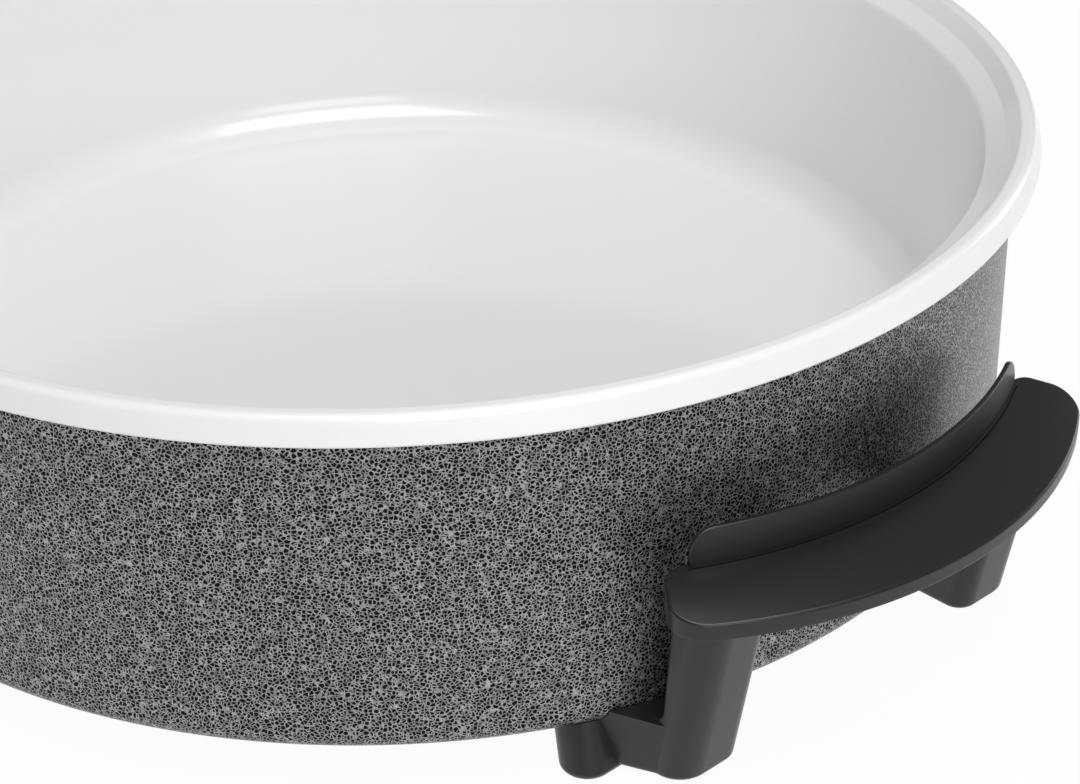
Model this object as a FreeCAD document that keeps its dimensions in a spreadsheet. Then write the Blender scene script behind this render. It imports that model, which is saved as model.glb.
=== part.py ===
import FreeCAD, Part
import math
import os
import Sketcher
from FreeCAD import Rotation, Vector

# Round electric skillet with a white coated bowl in a hammered outer casing.
# Two moulded handles carry it on four feet, and a plug-in thermostat control heats it.
# The frame: origin on the pan's axis in the flat underside of the casing, +Z up.
# The handle without the inlet is on +X, the inlet and its control are on -X.

doc = FreeCAD.newDocument("electric_skillet")
sheet = doc.addObject("Spreadsheet::Sheet", "Sizes")

sizes = (
    ("rim_radius", 200.0, "outer radius of the rim at its lower edge"),
    ("rim_level", 99.2, "height of the rim's lower edge over the underside"),
    ("rim_tall", 8.0, "height of the rim's outer face"),
    ("rim_lean", 2.6, "how far the rim's outer face leans in"),
    ("rim_flat", 4.2, "width of the rim's flat top"),
    ("ledge_outer", 189.4, "outer radius of the ledge that a lid rests on"),
    ("ledge_inner", 183.4, "inner radius of that ledge"),
    ("ledge_drop", 5.0, "depth of the ledge's outer side below the rim's top"),
    ("ledge_fall", 4.0, "fall of the ledge towards the bowl"),
    ("floor_level", 21.2, "height of the cooking surface over the underside"),
    ("floor_radius", 171.0, "radius where the bowl's wall would meet the floor"),
    ("floor_fillet", 14.0, "fillet between the floor and the wall"),
    ("pan_sheet", 2.0, "thickness of the bowl's sheet"),
    ("casing_radius", 192.0, "outer radius of the casing"),
    ("casing_top", 97.0, "height of the casing's upper edge"),
    ("casing_sheet", 1.0, "thickness of the casing's sheet"),
    ("casing_corner", 6.0, "outer radius of the casing's lower corner"),
    ("bead_radius", 150.0, "radius of the stiffening bead in the casing's bottom"),
    ("bead_depth", 1.2, "depth of that bead"),
    ("bead_width", 8.0, "width of that bead"),
    ("gasket_width", 1.6, "width of the seal between casing and rim"),
    ("ground_gap", 14.8, "height of the casing's underside over the table"),
    ("grip_centre", 104.0, "distance from the pan's axis to the centre of the grip's curve"),
    ("grip_inner", 108.4, "radius of the grip's inner edge"),
    ("grip_outer", 132.0, "radius of the grip's outer edge"),
    ("grip_top_inner", 55.6, "height of the grip's top at its inner edge"),
    ("grip_top_outer", 50.2, "height of the grip's top at its outer edge"),
    ("grip_under", 44.8, "height of the grip's underside"),
    ("grip_sweep", 77.0, "angle that the grip covers about its own centre"),
    ("grip_tip", 9.5, "rounding of the grip's outer tips"),
    ("grip_heel", 4.5, "rounding of the grip's inner tips"),
    ("guard_sweep", 74.0, "angle that the upright guard covers"),
    ("guard_sheet", 2.6, "thickness of the guard"),
    ("guard_top", 66.2, "height of the guard's upper edge"),
    ("guard_round", 6.5, "rounding of the guard's upper corners"),
    ("skirt_under", 33.2, "height of the lower edge of the skirt below the grip"),
    ("leg_near", 47.0, "distance from the handle's middle to a leg's inner side"),
    ("leg_far", 71.2, "distance from the handle's middle to a leg's outer side"),
    ("leg_back", 191.6, "distance from the pan's axis to a leg's back"),
    ("leg_front", 209.0, "distance from the pan's axis to a leg's front, at the grip"),
    ("leg_toe", 197.2, "distance from the pan's axis to a leg's front, at its foot"),
    ("leg_round", 9.0, "rounding of a leg's outer front corner"),
    ("leg_edge", 2.5, "rounding of a leg's inner front corner"),
    ("arm_end", 169.6, "distance from the pan's axis to the end of the arm under the pan"),
    ("notch_level", 3.6, "height of the notch's bottom beside the casing"),
    ("notch_round", 5.0, "rounding of that notch"),
    ("lobe_place", 170.4, "distance from the pan's axis to a lobe's centre, along the handle's line"),
    ("lobe_side", 79.6, "distance from the handle's middle to a lobe's centre"),
    ("lobe_radius", 7.8, "radius of the lobe beside each arm"),
    ("seat_gap", 0.3, "clearance between a moulding and the casing"),
    ("fit_play", 0.05, "radial clearance of a fixed pin or screw in its hole"),
    ("foot_radius", 6.5, "radius of a rubber foot"),
    ("foot_tall", 3.0, "height of a rubber foot"),
    ("foot_stand", 0.8, "how far a foot stands out of the leg"),
    ("foot_inset", 10.5, "distance from a leg's toe to its foot's axis"),
    ("bolt_side", 24.0, "distance from the handle's middle to a handle screw"),
    ("bolt_level", 39.0, "height of the handle screws"),
    ("bolt_radius", 2.0, "radius of a handle screw's shank"),
    ("bolt_head", 4.0, "radius of a handle screw's head"),
    ("bolt_head_tall", 2.6, "height of a handle screw's head"),
    ("bolt_play", 0.3, "radial clearance round a screw"),
    ("boss_radius", 5.4, "radius of the boss that stands the handle off the casing"),
    ("boss_root", 8.0, "length of that boss that the casing's curve trims away"),
    ("seat_stand", 0.6, "how far the boss's flat seat stands out of the skirt"),
    ("bracket_sheet", 2.5, "thickness of the bracket inside the casing"),
    ("bracket_tall", 16.0, "height of that bracket"),
    ("bracket_sweep", 22.0, "angle that the bracket covers"),
    ("washer_radius", 5.0, "radius of a handle screw's washer"),
    ("washer_tall", 1.0, "thickness of that washer"),
    ("spreader_radius", 138.0, "radius of the heat spreader under the bowl"),
    ("spreader_tall", 6.0, "thickness of the heat spreader"),
    ("heater_radius", 108.0, "radius of the heating element's ring"),
    ("heater_tube", 3.5, "radius of the heating element's tube"),
    ("heater_level", 11.7, "height of the heating element and of the inlet"),
    ("heater_bend", 16.0, "radius of the element's bends into its straight ends"),
    ("heater_play", 0.05, "radial clearance of the element in its groove"),
    ("clip_width", 10.0, "width of an element clip"),
    ("clip_sheet", 1.0, "thickness of an element clip"),
    ("shield_radius", 152.0, "radius of the heat shield"),
    ("shield_sheet", 0.6, "thickness of the heat shield"),
    ("shield_level", 5.0, "height of the heat shield's underside"),
    ("shield_lip", 2.4, "height of the heat shield's turned-up edge"),
    ("stud_radius", 2.5, "radius of the screws that hold the casing"),
    ("stud_head", 4.4, "radius of their countersunk heads"),
    ("stud_circle", 62.0, "distance from the pan's axis to those screws"),
    ("stud_bite", 4.0, "length of those screws in the heat spreader"),
    ("spacer_radius", 5.0, "radius of the spacers between shield and casing"),
    ("pin_spread", 18.0, "distance from the middle to each contact pin"),
    ("pin_radius", 3.0, "radius of a contact pin"),
    ("pin_reach", 20.0, "length of a contact pin outside the casing"),
    ("pin_play", 0.1, "radial clearance between pin and sleeve, and of the probe"),
    ("block_long", 12.0, "length of the inlet's insulating block"),
    ("block_wide", 58.0, "width of that block"),
    ("block_tall", 14.0, "height of that block"),
    ("window_wide", 46.0, "width of the inlet's window"),
    ("window_tall", 12.0, "height of the inlet's window"),
    ("window_round", 3.0, "rounding of that window's corners"),
    ("shroud_wide", 66.0, "outer width of the inlet's shroud"),
    ("shroud_tall", 28.0, "outer height of the inlet's shroud"),
    ("shroud_deep", 12.0, "depth of the inlet's shroud"),
    ("shroud_wall", 2.5, "wall of the inlet's shroud"),
    ("shroud_screw", 27.0, "distance from the middle to a shroud screw"),
    ("earth_wide", 6.3, "width of the earth blade"),
    ("earth_sheet", 0.8, "thickness of the earth blade"),
    ("guide_sheet", 0.8, "wall of the probe's guide tube"),
    ("probe_radius", 3.0, "radius of the temperature probe"),
    ("probe_reach", 66.0, "length of the probe in front of the control"),
    ("nose_play", 0.6, "clearance between the control's nose and the shroud"),
    ("control_gap", 0.5, "gap between the control and the shroud"),
    ("control_long", 106.0, "length of the control's housing"),
    ("control_wide", 60.0, "width of the control's housing"),
    ("control_tall", 38.0, "height of the control's housing"),
    ("control_wall", 2.2, "wall of the control's housing"),
    ("control_round", 14.0, "rounding of the control's upright corners"),
    ("control_edge", 3.0, "rounding of the control's outer edges"),
    ("dial_place", 58.0, "distance from the control's front to the dial's axis"),
    ("dial_radius", 22.0, "radius of the dial"),
    ("dial_tall", 12.0, "height of the dial"),
    ("dial_play", 0.5, "gap between the dial and the cover"),
    ("dial_flutes", 24.0, "number of finger grooves round the dial"),
    ("flute_radius", 1.6, "radius of a finger groove"),
    ("shaft_radius", 3.0, "radius of the dial's shaft"),
    ("shaft_play", 0.06, "radial clearance of the shaft in its bearings"),
    ("cam_radius", 9.0, "radius of the cam on the shaft"),
    ("cam_shift", 1.5, "offset of the cam from the shaft's axis"),
    ("cam_tall", 3.0, "thickness of the cam"),
    ("lamp_place", 92.0, "distance from the control's front to the lamp"),
    ("lamp_radius", 4.0, "radius of the lamp's lens"),
    ("gland_radius", 7.0, "outer radius of the cord's gland"),
    ("gland_bore", 3.6, "radius of the gland's bore"),
    ("gland_reach", 8.0, "length of the gland outside the housing"),
    ("gland_collar", 1.5, "thickness and height of the gland's inner collar"),
    ("small_screw", 1.6, "radius of the small screws"),
    ("small_head", 3.0, "radius of their heads"),
    ("small_head_tall", 1.8, "height of their heads"),
    ("screw_boss", 3.8, "radius of the screw bosses in the control"),
    ("sleeve_radius", 4.2, "outer radius of a contact sleeve"),
    ("bush_radius", 5.0, "outer radius of the probe's bush"),
    ("frame_level", 0.5, "height of the thermostat frame's underside"),
)

for row, (alias, value, note) in enumerate(sizes, start=1):
    sheet.set("A%d" % row, note)
    sheet.set("B%d" % row, str(value))
    sheet.setAlias("B%d" % row, alias)
doc.recompute()

# A name in an expression below is a cell of the sheet.
aliases = sorted((alias for alias, value, note in sizes), key=len, reverse=True)


def cells(text):
    """Put the sheet's name before each alias in an expression."""
    words = []
    word = ""
    for letter in str(text) + " ":
        if letter.isalnum() or letter == "_":
            word += letter
            continue
        words.append("Sizes." + word if word in aliases else word)
        words.append(letter)
        word = ""
    return "".join(words).strip()


def value(text):
    """The present value of an expression, as a plain number."""
    result = sheet.evalExpression(cells(text))
    return float(getattr(result, "Value", result))


def bind(item, **paths):
    """Bind properties to expressions; a double underscore stands for a dot."""
    for path, text in paths.items():
        item.setExpression(path.replace("__", "."), cells(text))
    return item


# Sketches

def origin_plane(body, role):
    for feature in body.Origin.OriginFeatures:
        if feature.Role == role:
            return feature
    raise ValueError(role)


def new_body(label):
    body = doc.addObject("PartDesign::Body", label)
    body.Label = label
    return body


def new_sketch(body, name, role, shift=None):
    sketch = body.newObject("Sketcher::SketchObject", name)
    sketch.AttachmentSupport = (origin_plane(body, role), [""])
    sketch.MapMode = "FlatFace"
    for letter, text in (shift or {}).items():
        sketch.setExpression("AttachmentOffset.Base." + letter, cells(text))
    return sketch


def place_point(sketch, geometry, position, across, up):
    """Tie a point to the sketch's origin by two named distances."""
    for kind, text in (("DistanceX", across), ("DistanceY", up)):
        amount = value(text)
        if abs(amount) < 1e-9 and str(text) == "0":
            target = -2 if kind == "DistanceX" else -1
            sketch.addConstraint(Sketcher.Constraint("PointOnObject", geometry, position, target))
            continue
        index = sketch.addConstraint(Sketcher.Constraint(kind, -1, 1, geometry, position, amount))
        sketch.setExpression("Constraints[%d]" % index, cells(text))


def add_outline(sketch, corners):
    """A closed outline through corners (across, up) or (across, up, rounding)."""
    points = [Vector(value(c[0]), value(c[1]), 0) for c in corners]
    count = len(points)
    starts, ends, arcs = [], [], {}
    for i, corner in enumerate(corners):
        here, before, after = points[i], points[i - 1], points[(i + 1) % count]
        if len(corner) == 2:
            starts.append(here)
            ends.append(here)
            continue
        radius = value(corner[2])
        back = (before - here).normalize()
        forth = (after - here).normalize()
        half = back.getAngle(forth) / 2
        reach = radius / math.tan(half)
        first, last = here + back * reach, here + forth * reach
        centre = here + (back + forth).normalize() * (radius / math.sin(half))
        arcs[i] = (centre, radius, first, last, back.cross(forth).z < 0)
        starts.append(first)
        ends.append(last)
    lines = []
    for i in range(count):
        line = Part.LineSegment(ends[i], starts[(i + 1) % count])
        lines.append(sketch.addGeometry(line, False))
    for i, corner in enumerate(corners):
        before, after = lines[i - 1], lines[i]
        if i not in arcs:
            sketch.addConstraint(Sketcher.Constraint("Coincident", before, 2, after, 1))
            place_point(sketch, after, 1, corner[0], corner[1])
            continue
        centre, radius, first, last, left = arcs[i]
        begin, finish = (first, last) if left else (last, first)
        angles = [math.atan2(p.y - centre.y, p.x - centre.x) for p in (begin, finish)]
        if angles[1] < angles[0]:
            angles[1] += 2 * math.pi
        circle = Part.Circle(centre, Vector(0, 0, 1), radius)
        arc = sketch.addGeometry(Part.ArcOfCircle(circle, angles[0], angles[1]), False)
        near, far = (1, 2) if left else (2, 1)
        sketch.addConstraint(Sketcher.Constraint("Tangent", before, 2, arc, near))
        sketch.addConstraint(Sketcher.Constraint("Tangent", arc, far, after, 1))
        point = sketch.addGeometry(Part.Point(points[i]), True)
        sketch.addConstraint(Sketcher.Constraint("PointOnObject", point, 1, before))
        sketch.addConstraint(Sketcher.Constraint("PointOnObject", point, 1, after))
        place_point(sketch, point, 1, corner[0], corner[1])
        index = sketch.addConstraint(Sketcher.Constraint("Radius", arc, radius))
        sketch.setExpression("Constraints[%d]" % index, cells(corner[2]))
    return sketch


def add_circle(sketch, across, up, radius):
    centre = Vector(value(across), value(up), 0)
    circle = sketch.addGeometry(Part.Circle(centre, Vector(0, 0, 1), value(radius)), False)
    place_point(sketch, circle, 3, across, up)
    index = sketch.addConstraint(Sketcher.Constraint("Radius", circle, value(radius)))
    sketch.setExpression("Constraints[%d]" % index, cells(radius))
    return sketch


def outline(body, name, role, corners, shift=None):
    return add_outline(new_sketch(body, name, role, shift), corners)


def circles(body, name, role, rounds, shift=None):
    sketch = new_sketch(body, name, role, shift)
    for across, up, radius in rounds:
        add_circle(sketch, across, up, radius)
    return sketch


# Features

def turn(body, sketch, name, sweep=None, cut=False):
    """Turn a sketch about its own upright axis, all the way or centred on its plane."""
    kind = "PartDesign::Groove" if cut else "PartDesign::Revolution"
    feature = body.newObject(kind, name)
    feature.Profile = sketch
    feature.ReferenceAxis = (sketch, ["V_Axis"])
    feature.Angle = 360
    if sweep:
        feature.Midplane = True
        bind(feature, Angle=sweep)
    sketch.Visibility = False
    return feature


def pad(body, sketch, name, length, cut=False, middle=False, back=False):
    kind = "PartDesign::Pocket" if cut else "PartDesign::Pad"
    feature = body.newObject(kind, name)
    feature.Profile = sketch
    feature.Type = 0
    bind(feature, Length=length)
    feature.Midplane = middle
    feature.Reversed = back
    sketch.Visibility = False
    return feature


def find_edges(feature, test):
    """Names of the edges whose middle, length and ends pass a test."""
    doc.recompute()
    names = []
    for index, edge in enumerate(feature.Shape.Edges, start=1):
        middle = edge.valueAt((edge.FirstParameter + edge.LastParameter) / 2)
        if test(edge, middle):
            names.append("Edge%d" % index)
    return names


def round_edges(body, feature, name, radius, test, kind="Fillet"):
    names = find_edges(feature, test)
    if not names:
        raise ValueError("no edge for " + name)
    fillet = body.newObject("PartDesign::" + kind, name)
    fillet.Base = (feature, names)
    bind(fillet, **{"Radius" if kind == "Fillet" else "Size": radius})
    return fillet


def is_upright(edge):
    if len(edge.Vertexes) != 2:
        return False
    run = edge.Vertexes[1].Point - edge.Vertexes[0].Point
    return math.hypot(run.x, run.y) < 1e-6 < abs(run.z)


# Simple solids

turns = {"x": Rotation(Vector(0, 1, 0), 90), "y": Rotation(Vector(1, 0, 0), -90), "z": Rotation()}


def locate(item, at, rotation=None):
    if rotation is not None:
        item.Placement.Rotation = rotation
    for letter, text in zip("xyz", at):
        item.setExpression("Placement.Base." + letter, cells(text))
    return item


def rod(name, radius, length, at, along="z"):
    """A cylinder from a point along one axis."""
    item = doc.addObject("Part::Cylinder", name)
    bind(item, Radius=radius, Height=length)
    return locate(item, at, turns[along])


def slab(name, long, wide, tall, at):
    """A box from its lowest corner."""
    item = doc.addObject("Part::Box", name)
    bind(item, Length=long, Width=wide, Height=tall)
    return locate(item, at)


def cone(name, low, high, length, at):
    item = doc.addObject("Part::Cone", name)
    bind(item, Radius1=low, Radius2=high, Height=length)
    return locate(item, at)


def less(label, base, *tools):
    """One solid with others cut away."""
    tool = tools[0] if len(tools) == 1 else joined(label + "_cuts", *tools)
    item = doc.addObject("Part::Cut", label)
    item.Base = base
    item.Tool = tool
    item.Label = label
    return item


def joined(label, *shapes):
    item = doc.addObject("Part::MultiFuse", label)
    item.Shapes = list(shapes)
    item.Label = label
    return item


def group(label, *shapes):
    """Separate solids of one kind that share a node."""
    item = doc.addObject("Part::Compound", label)
    item.Links = list(shapes)
    item.Label = label
    return item


nodes = []


def keep(item, label=None):
    if label:
        item.Label = label
    nodes.append(item)
    return item


# Bowl and casing

def inner_pan():
    """Pressed bowl with a lid ledge and a turned-down rim, all one sheet."""
    body = new_body("inner_pan")
    top = "rim_level + rim_tall"
    wall = "rim_radius - rim_lean - rim_flat"
    ledge = top + " - ledge_drop"
    low = ledge + " - ledge_fall"
    corners = [
        ("0", "floor_level"),
        ("floor_radius", "floor_level", "floor_fillet"),
        ("ledge_inner", low, "2.0"),
        ("ledge_outer", ledge, "1.6"),
        (wall, top, "1.0"),
        ("rim_radius - rim_lean", top, "pan_sheet"),
        ("rim_radius", "rim_level"),
        ("rim_radius - pan_sheet", "rim_level"),
        ("rim_radius - rim_lean - pan_sheet + 0.6", top + " - pan_sheet"),
        (wall + " + pan_sheet", top + " - pan_sheet"),
        ("ledge_outer + pan_sheet", ledge + " - pan_sheet"),
        ("ledge_inner + pan_sheet", low + " - pan_sheet"),
        ("floor_radius + pan_sheet", "floor_level - pan_sheet", "floor_fillet + pan_sheet"),
        ("0", "floor_level - pan_sheet"),
    ]
    turn(body, outline(body, "bowl_section", "XZ_Plane", corners), "bowl_turned")
    return keep(body)


def outer_casing():
    """Deep-drawn casing with a stiffening bead, the inlet's window and its screw holes."""
    body = new_body("outer_casing")
    corners = [
        ("0", "0"),
        ("bead_radius - bead_width", "0"),
        ("bead_radius - bead_width/2", "bead_depth"),
        ("bead_radius + bead_width/2", "bead_depth"),
        ("bead_radius + bead_width", "0"),
        ("casing_radius", "0", "casing_corner"),
        ("casing_radius", "casing_top"),
        ("casing_radius - casing_sheet", "casing_top"),
        ("casing_radius - casing_sheet", "casing_sheet", "casing_corner - casing_sheet"),
        ("bead_radius + bead_width + casing_sheet/2", "casing_sheet"),
        ("bead_radius + bead_width/2 + casing_sheet/2", "bead_depth + casing_sheet"),
        ("bead_radius - bead_width/2 - casing_sheet/2", "bead_depth + casing_sheet"),
        ("bead_radius - bead_width - casing_sheet/2", "casing_sheet"),
        ("0", "casing_sheet"),
    ]
    turn(body, outline(body, "casing_section", "XZ_Plane", corners), "casing_turned")
    window = outline(body, "inlet_window", "YZ_Plane", [
        (side + "window_wide/2", "heater_level + " + up + "window_tall/2", "window_round")
        for side, up in (("-", "-"), ("", "-"), ("", ""), ("-", ""))])
    pad(body, window, "inlet_window_cut", "casing_radius + 1", cut=True)
    doc.recompute()
    bolts = circles(body, "handle_screw_centres", "YZ_Plane", [
        (side + "bolt_side", "bolt_level", "bolt_radius + bolt_play") for side in ("", "-")])
    pad(body, bolts, "handle_screw_holes", "2*casing_radius + 2", cut=True, middle=True)
    frame_bolts = circles(body, "shroud_screw_centres", "YZ_Plane", [
        (side + "shroud_screw", "heater_level", "small_screw + 0.2") for side in ("", "-")])
    pad(body, frame_bolts, "shroud_screw_holes", "casing_radius + 1", cut=True)
    for i in range(3):
        sink = body.newObject("PartDesign::SubtractiveCone", "screw_sink_%d" % i)
        bind(sink, Radius1=sink_radius("-casing_sheet"), Radius2=sink_radius("2*casing_sheet"),
             Height="3*casing_sheet")
        locate(sink, stud_spot(i) + ("-casing_sheet",))
    return keep(body)


def sink_radius(level):
    """Radius at a level of the cone that clears a casing screw's head."""
    return "stud_head + fit_play - (%s)" % level


def stud_spot(index):
    """Where one of the three casing screws stands, as two expressions."""
    angle = 60 + 120 * index
    return ("stud_circle * cos(%d deg)" % angle, "stud_circle * sin(%d deg)" % angle)


def rim_gasket():
    """Soft ring between the casing's edge and the underside of the rim."""
    inner = "casing_radius - gasket_width + 0.2"
    outer = rod("gasket_outer", "casing_radius + 0.2", "rim_level - casing_top",
                ("0", "0", "casing_top"))
    hole = rod("gasket_hole", inner, "rim_level - casing_top + 2", ("0", "0", "casing_top - 1"))
    return keep(less("rim_gasket", outer, hole))


# Handles

def handle(label, rotation):
    """Grip, upright guard, skirt, two legs with arms and lobes, and two screw bosses."""
    body = new_body(label)
    swing = {"x": "grip_centre"}
    grip = outline(body, label + "_grip_section", "XZ_Plane", [
        ("grip_inner - guard_sheet", "grip_under"),
        ("grip_outer", "grip_under"),
        ("grip_outer", "grip_top_outer"),
        ("grip_inner", "grip_top_inner"),
        ("grip_inner - guard_sheet", "grip_top_inner")], swing)
    grip_turned = turn(body, grip, label + "_grip", "grip_sweep")
    reach = value("grip_centre + grip_inner * cos(grip_sweep/2 * 1 deg)")
    tips = round_edges(body, grip_turned, label + "_tips", "grip_tip",
                       lambda e, m: is_upright(e) and m.x > reach + 8)
    heels = round_edges(body, tips, label + "_heels", "grip_heel",
                        lambda e, m: is_upright(e) and abs(m.y) > 60 and m.x < reach + 1)
    doc.recompute()
    guard = outline(body, label + "_guard_section", "XZ_Plane", [
        ("grip_inner - guard_sheet", "skirt_under + 4"),
        ("grip_inner", "skirt_under + 4"),
        ("grip_inner", "guard_top"),
        ("grip_inner - guard_sheet", "guard_top")], swing)
    guard_turned = turn(body, guard, label + "_guard", "guard_sweep")
    guard_high = value("guard_top")
    corners = round_edges(
        body, guard_turned, label + "_guard_corners", "guard_round",
        lambda e, m: abs(m.z - guard_high) < 1e-6 and e.Length < 4 and abs(m.y) > 50)
    doc.recompute()
    skirt = outline(body, label + "_skirt_section", "XZ_Plane", [
        ("grip_inner - guard_sheet", "skirt_under"),
        ("grip_inner", "skirt_under"),
        ("grip_inner", "grip_under + 1"),
        ("grip_inner - guard_sheet", "grip_under + 1")], swing)
    turn(body, skirt, label + "_skirt", "56")
    doc.recompute()
    for side, sign in (("a", ""), ("b", "-")):
        leg = outline(body, label + "_leg_section_" + side, "XZ_Plane", [
            ("arm_end", "-ground_gap + foot_stand", "1.5"),
            ("leg_toe", "-ground_gap + foot_stand", "1.2"),
            ("leg_front", "grip_under + 0.5"),
            ("leg_back", "grip_under + 0.5"),
            ("leg_back", "notch_level", "notch_round"),
            ("arm_end", "notch_level")],
            {"z": "leg_near" if sign else "-leg_far"})
        pad(body, leg, label + "_leg_" + side, "leg_far - leg_near")
        doc.recompute()
        lobe = circles(body, label + "_lobe_round_" + side, "XY_Plane",
                       [("lobe_place", sign + "lobe_side", "lobe_radius")],
                       {"z": "-ground_gap + foot_stand"})
        pad(body, lobe, label + "_lobe_" + side, "ground_gap - foot_stand + casing_corner")
        low, high = ("leg_far - 4", "lobe_side") if not sign else ("-lobe_side", "-leg_far + 4")
        neck = outline(body, label + "_neck_outline_" + side, "XY_Plane", [
            ("lobe_place - lobe_radius", low),
            ("lobe_place + lobe_radius", low),
            ("lobe_place + lobe_radius", high),
            ("lobe_place - lobe_radius", high)], {"z": "-ground_gap + foot_stand"})
        pad(body, neck, label + "_neck_" + side, "ground_gap - foot_stand + casing_corner")
        boss = circles(body, label + "_boss_round_" + side, "YZ_Plane",
                       [(sign + "bolt_side", "bolt_level", "boss_radius")],
                       {"z": "casing_radius - boss_root"})
        pad(body, boss, label + "_boss_" + side,
            "grip_centre + grip_inner + seat_stand - casing_radius + boss_root")
        doc.recompute()
    front = value("leg_toe") - 6
    near, far = value("leg_near"), value("leg_far")
    legs = body.Tip
    outer_corners = round_edges(
        body, legs, label + "_leg_fronts", "leg_round",
        lambda e, m: abs(abs(m.y) - far) < 1e-6 and m.x > front and 5 < abs(
            e.BoundBox.ZLength) and e.BoundBox.XLength > 1 and m.z < value("grip_under"))
    inner_corners = round_edges(
        body, outer_corners, label + "_leg_edges", "leg_edge",
        lambda e, m: abs(abs(m.y) - near) < 1e-6 and m.x > front and 5 < abs(
            e.BoundBox.ZLength) and e.BoundBox.XLength > 1 and m.z < value("grip_under"))
    doc.recompute()
    saddle = outline(body, label + "_saddle_section", "XZ_Plane", [
        ("0", "0"),
        ("casing_radius + seat_gap", "0", "casing_corner"),
        ("casing_radius + seat_gap", "guard_top + 5"),
        ("0", "guard_top + 5")])
    turn(body, saddle, label + "_saddle", cut=True)
    doc.recompute()
    bolts = circles(body, label + "_screw_centres", "YZ_Plane", [
        (side + "bolt_side", "bolt_level", "bolt_radius + bolt_play") for side in ("", "-")])
    pad(body, bolts, label + "_screw_holes", "grip_centre + grip_outer", cut=True, back=True)
    feet = circles(body, label + "_foot_centres", "XY_Plane", [
        ("leg_toe - foot_inset", side + "(leg_near + leg_far)/2", "foot_radius + fit_play")
        for side in ("", "-")], {"z": "-ground_gap"})
    pad(body, feet, label + "_foot_seats", "foot_tall", cut=True, back=True)
    doc.recompute()
    body.Placement = FreeCAD.Placement(Vector(), rotation)
    return keep(body)


def foot_pads():
    spots = [(x, y) for x in ("", "-") for y in ("", "-")]
    pads = [rod("foot_%d" % i, "foot_radius", "foot_tall",
                (x + "(leg_toe - foot_inset)", y + "(leg_near + leg_far)/2", "-ground_gap"))
            for i, (x, y) in enumerate(spots)]
    return keep(group("foot_pads", *pads))


def handle_bracket(label, rotation):
    """Curved strap inside the casing that the handle screws bite into."""
    body = new_body(label)
    inner = "casing_radius - casing_sheet - seat_gap - bracket_sheet"
    section = outline(body, label + "_section", "XZ_Plane", [
        (inner, "bolt_level - bracket_tall/2"),
        (inner + " + bracket_sheet", "bolt_level - bracket_tall/2"),
        (inner + " + bracket_sheet", "bolt_level + bracket_tall/2"),
        (inner, "bolt_level + bracket_tall/2")])
    turn(body, section, label + "_strap", "bracket_sweep")
    doc.recompute()
    bolts = circles(body, label + "_holes", "YZ_Plane", [
        (side + "bolt_side", "bolt_level", "bolt_radius + fit_play") for side in ("", "-")])
    pad(body, bolts, label + "_drilled", "casing_radius", cut=True, back=True)
    doc.recompute()
    body.Placement = FreeCAD.Placement(Vector(), rotation)
    return keep(body)


bolt_seat = "(grip_centre + grip_inner + seat_stand)"


def handle_screws():
    """Four screws through the handles' bosses, each with its washer apart."""
    screws, washers = [], []
    for sign in ("", "-"):
        for side in ("", "-"):
            tag = "%d%d" % (sign == "-", side == "-")
            y = side + "bolt_side"
            step = "bolt_head_tall"
            shank_at = "bolt_seat_a"
            if sign == "":
                shank = rod("shank_" + tag, "bolt_radius", "29",
                            (bolt_seat + " + washer_tall - 29", y, "bolt_level"), "x")
                head = rod("head_" + tag, "bolt_head", step,
                           (bolt_seat + " + washer_tall", y, "bolt_level"), "x")
                disc = (bolt_seat, y, "bolt_level")
            else:
                shank = rod("shank_" + tag, "bolt_radius", "29",
                            ("-" + bolt_seat + " - washer_tall", y, "bolt_level"), "x")
                head = rod("head_" + tag, "bolt_head", step,
                           ("-" + bolt_seat + " - washer_tall - " + step, y, "bolt_level"), "x")
                disc = ("-" + bolt_seat + " - washer_tall", y, "bolt_level")
            screws.append(joined("handle_screw_" + tag, shank, head))
            washers.append(less(
                "handle_washer_" + tag,
                rod("washer_disc_" + tag, "washer_radius", "washer_tall", disc, "x"),
                rod("washer_hole_" + tag, "bolt_radius + fit_play", "washer_tall", disc, "x")))
    keep(group("handle_screws", *screws))
    keep(group("handle_washers", *washers))


# Heating

heater_end = "(casing_radius - 12)"


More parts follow.
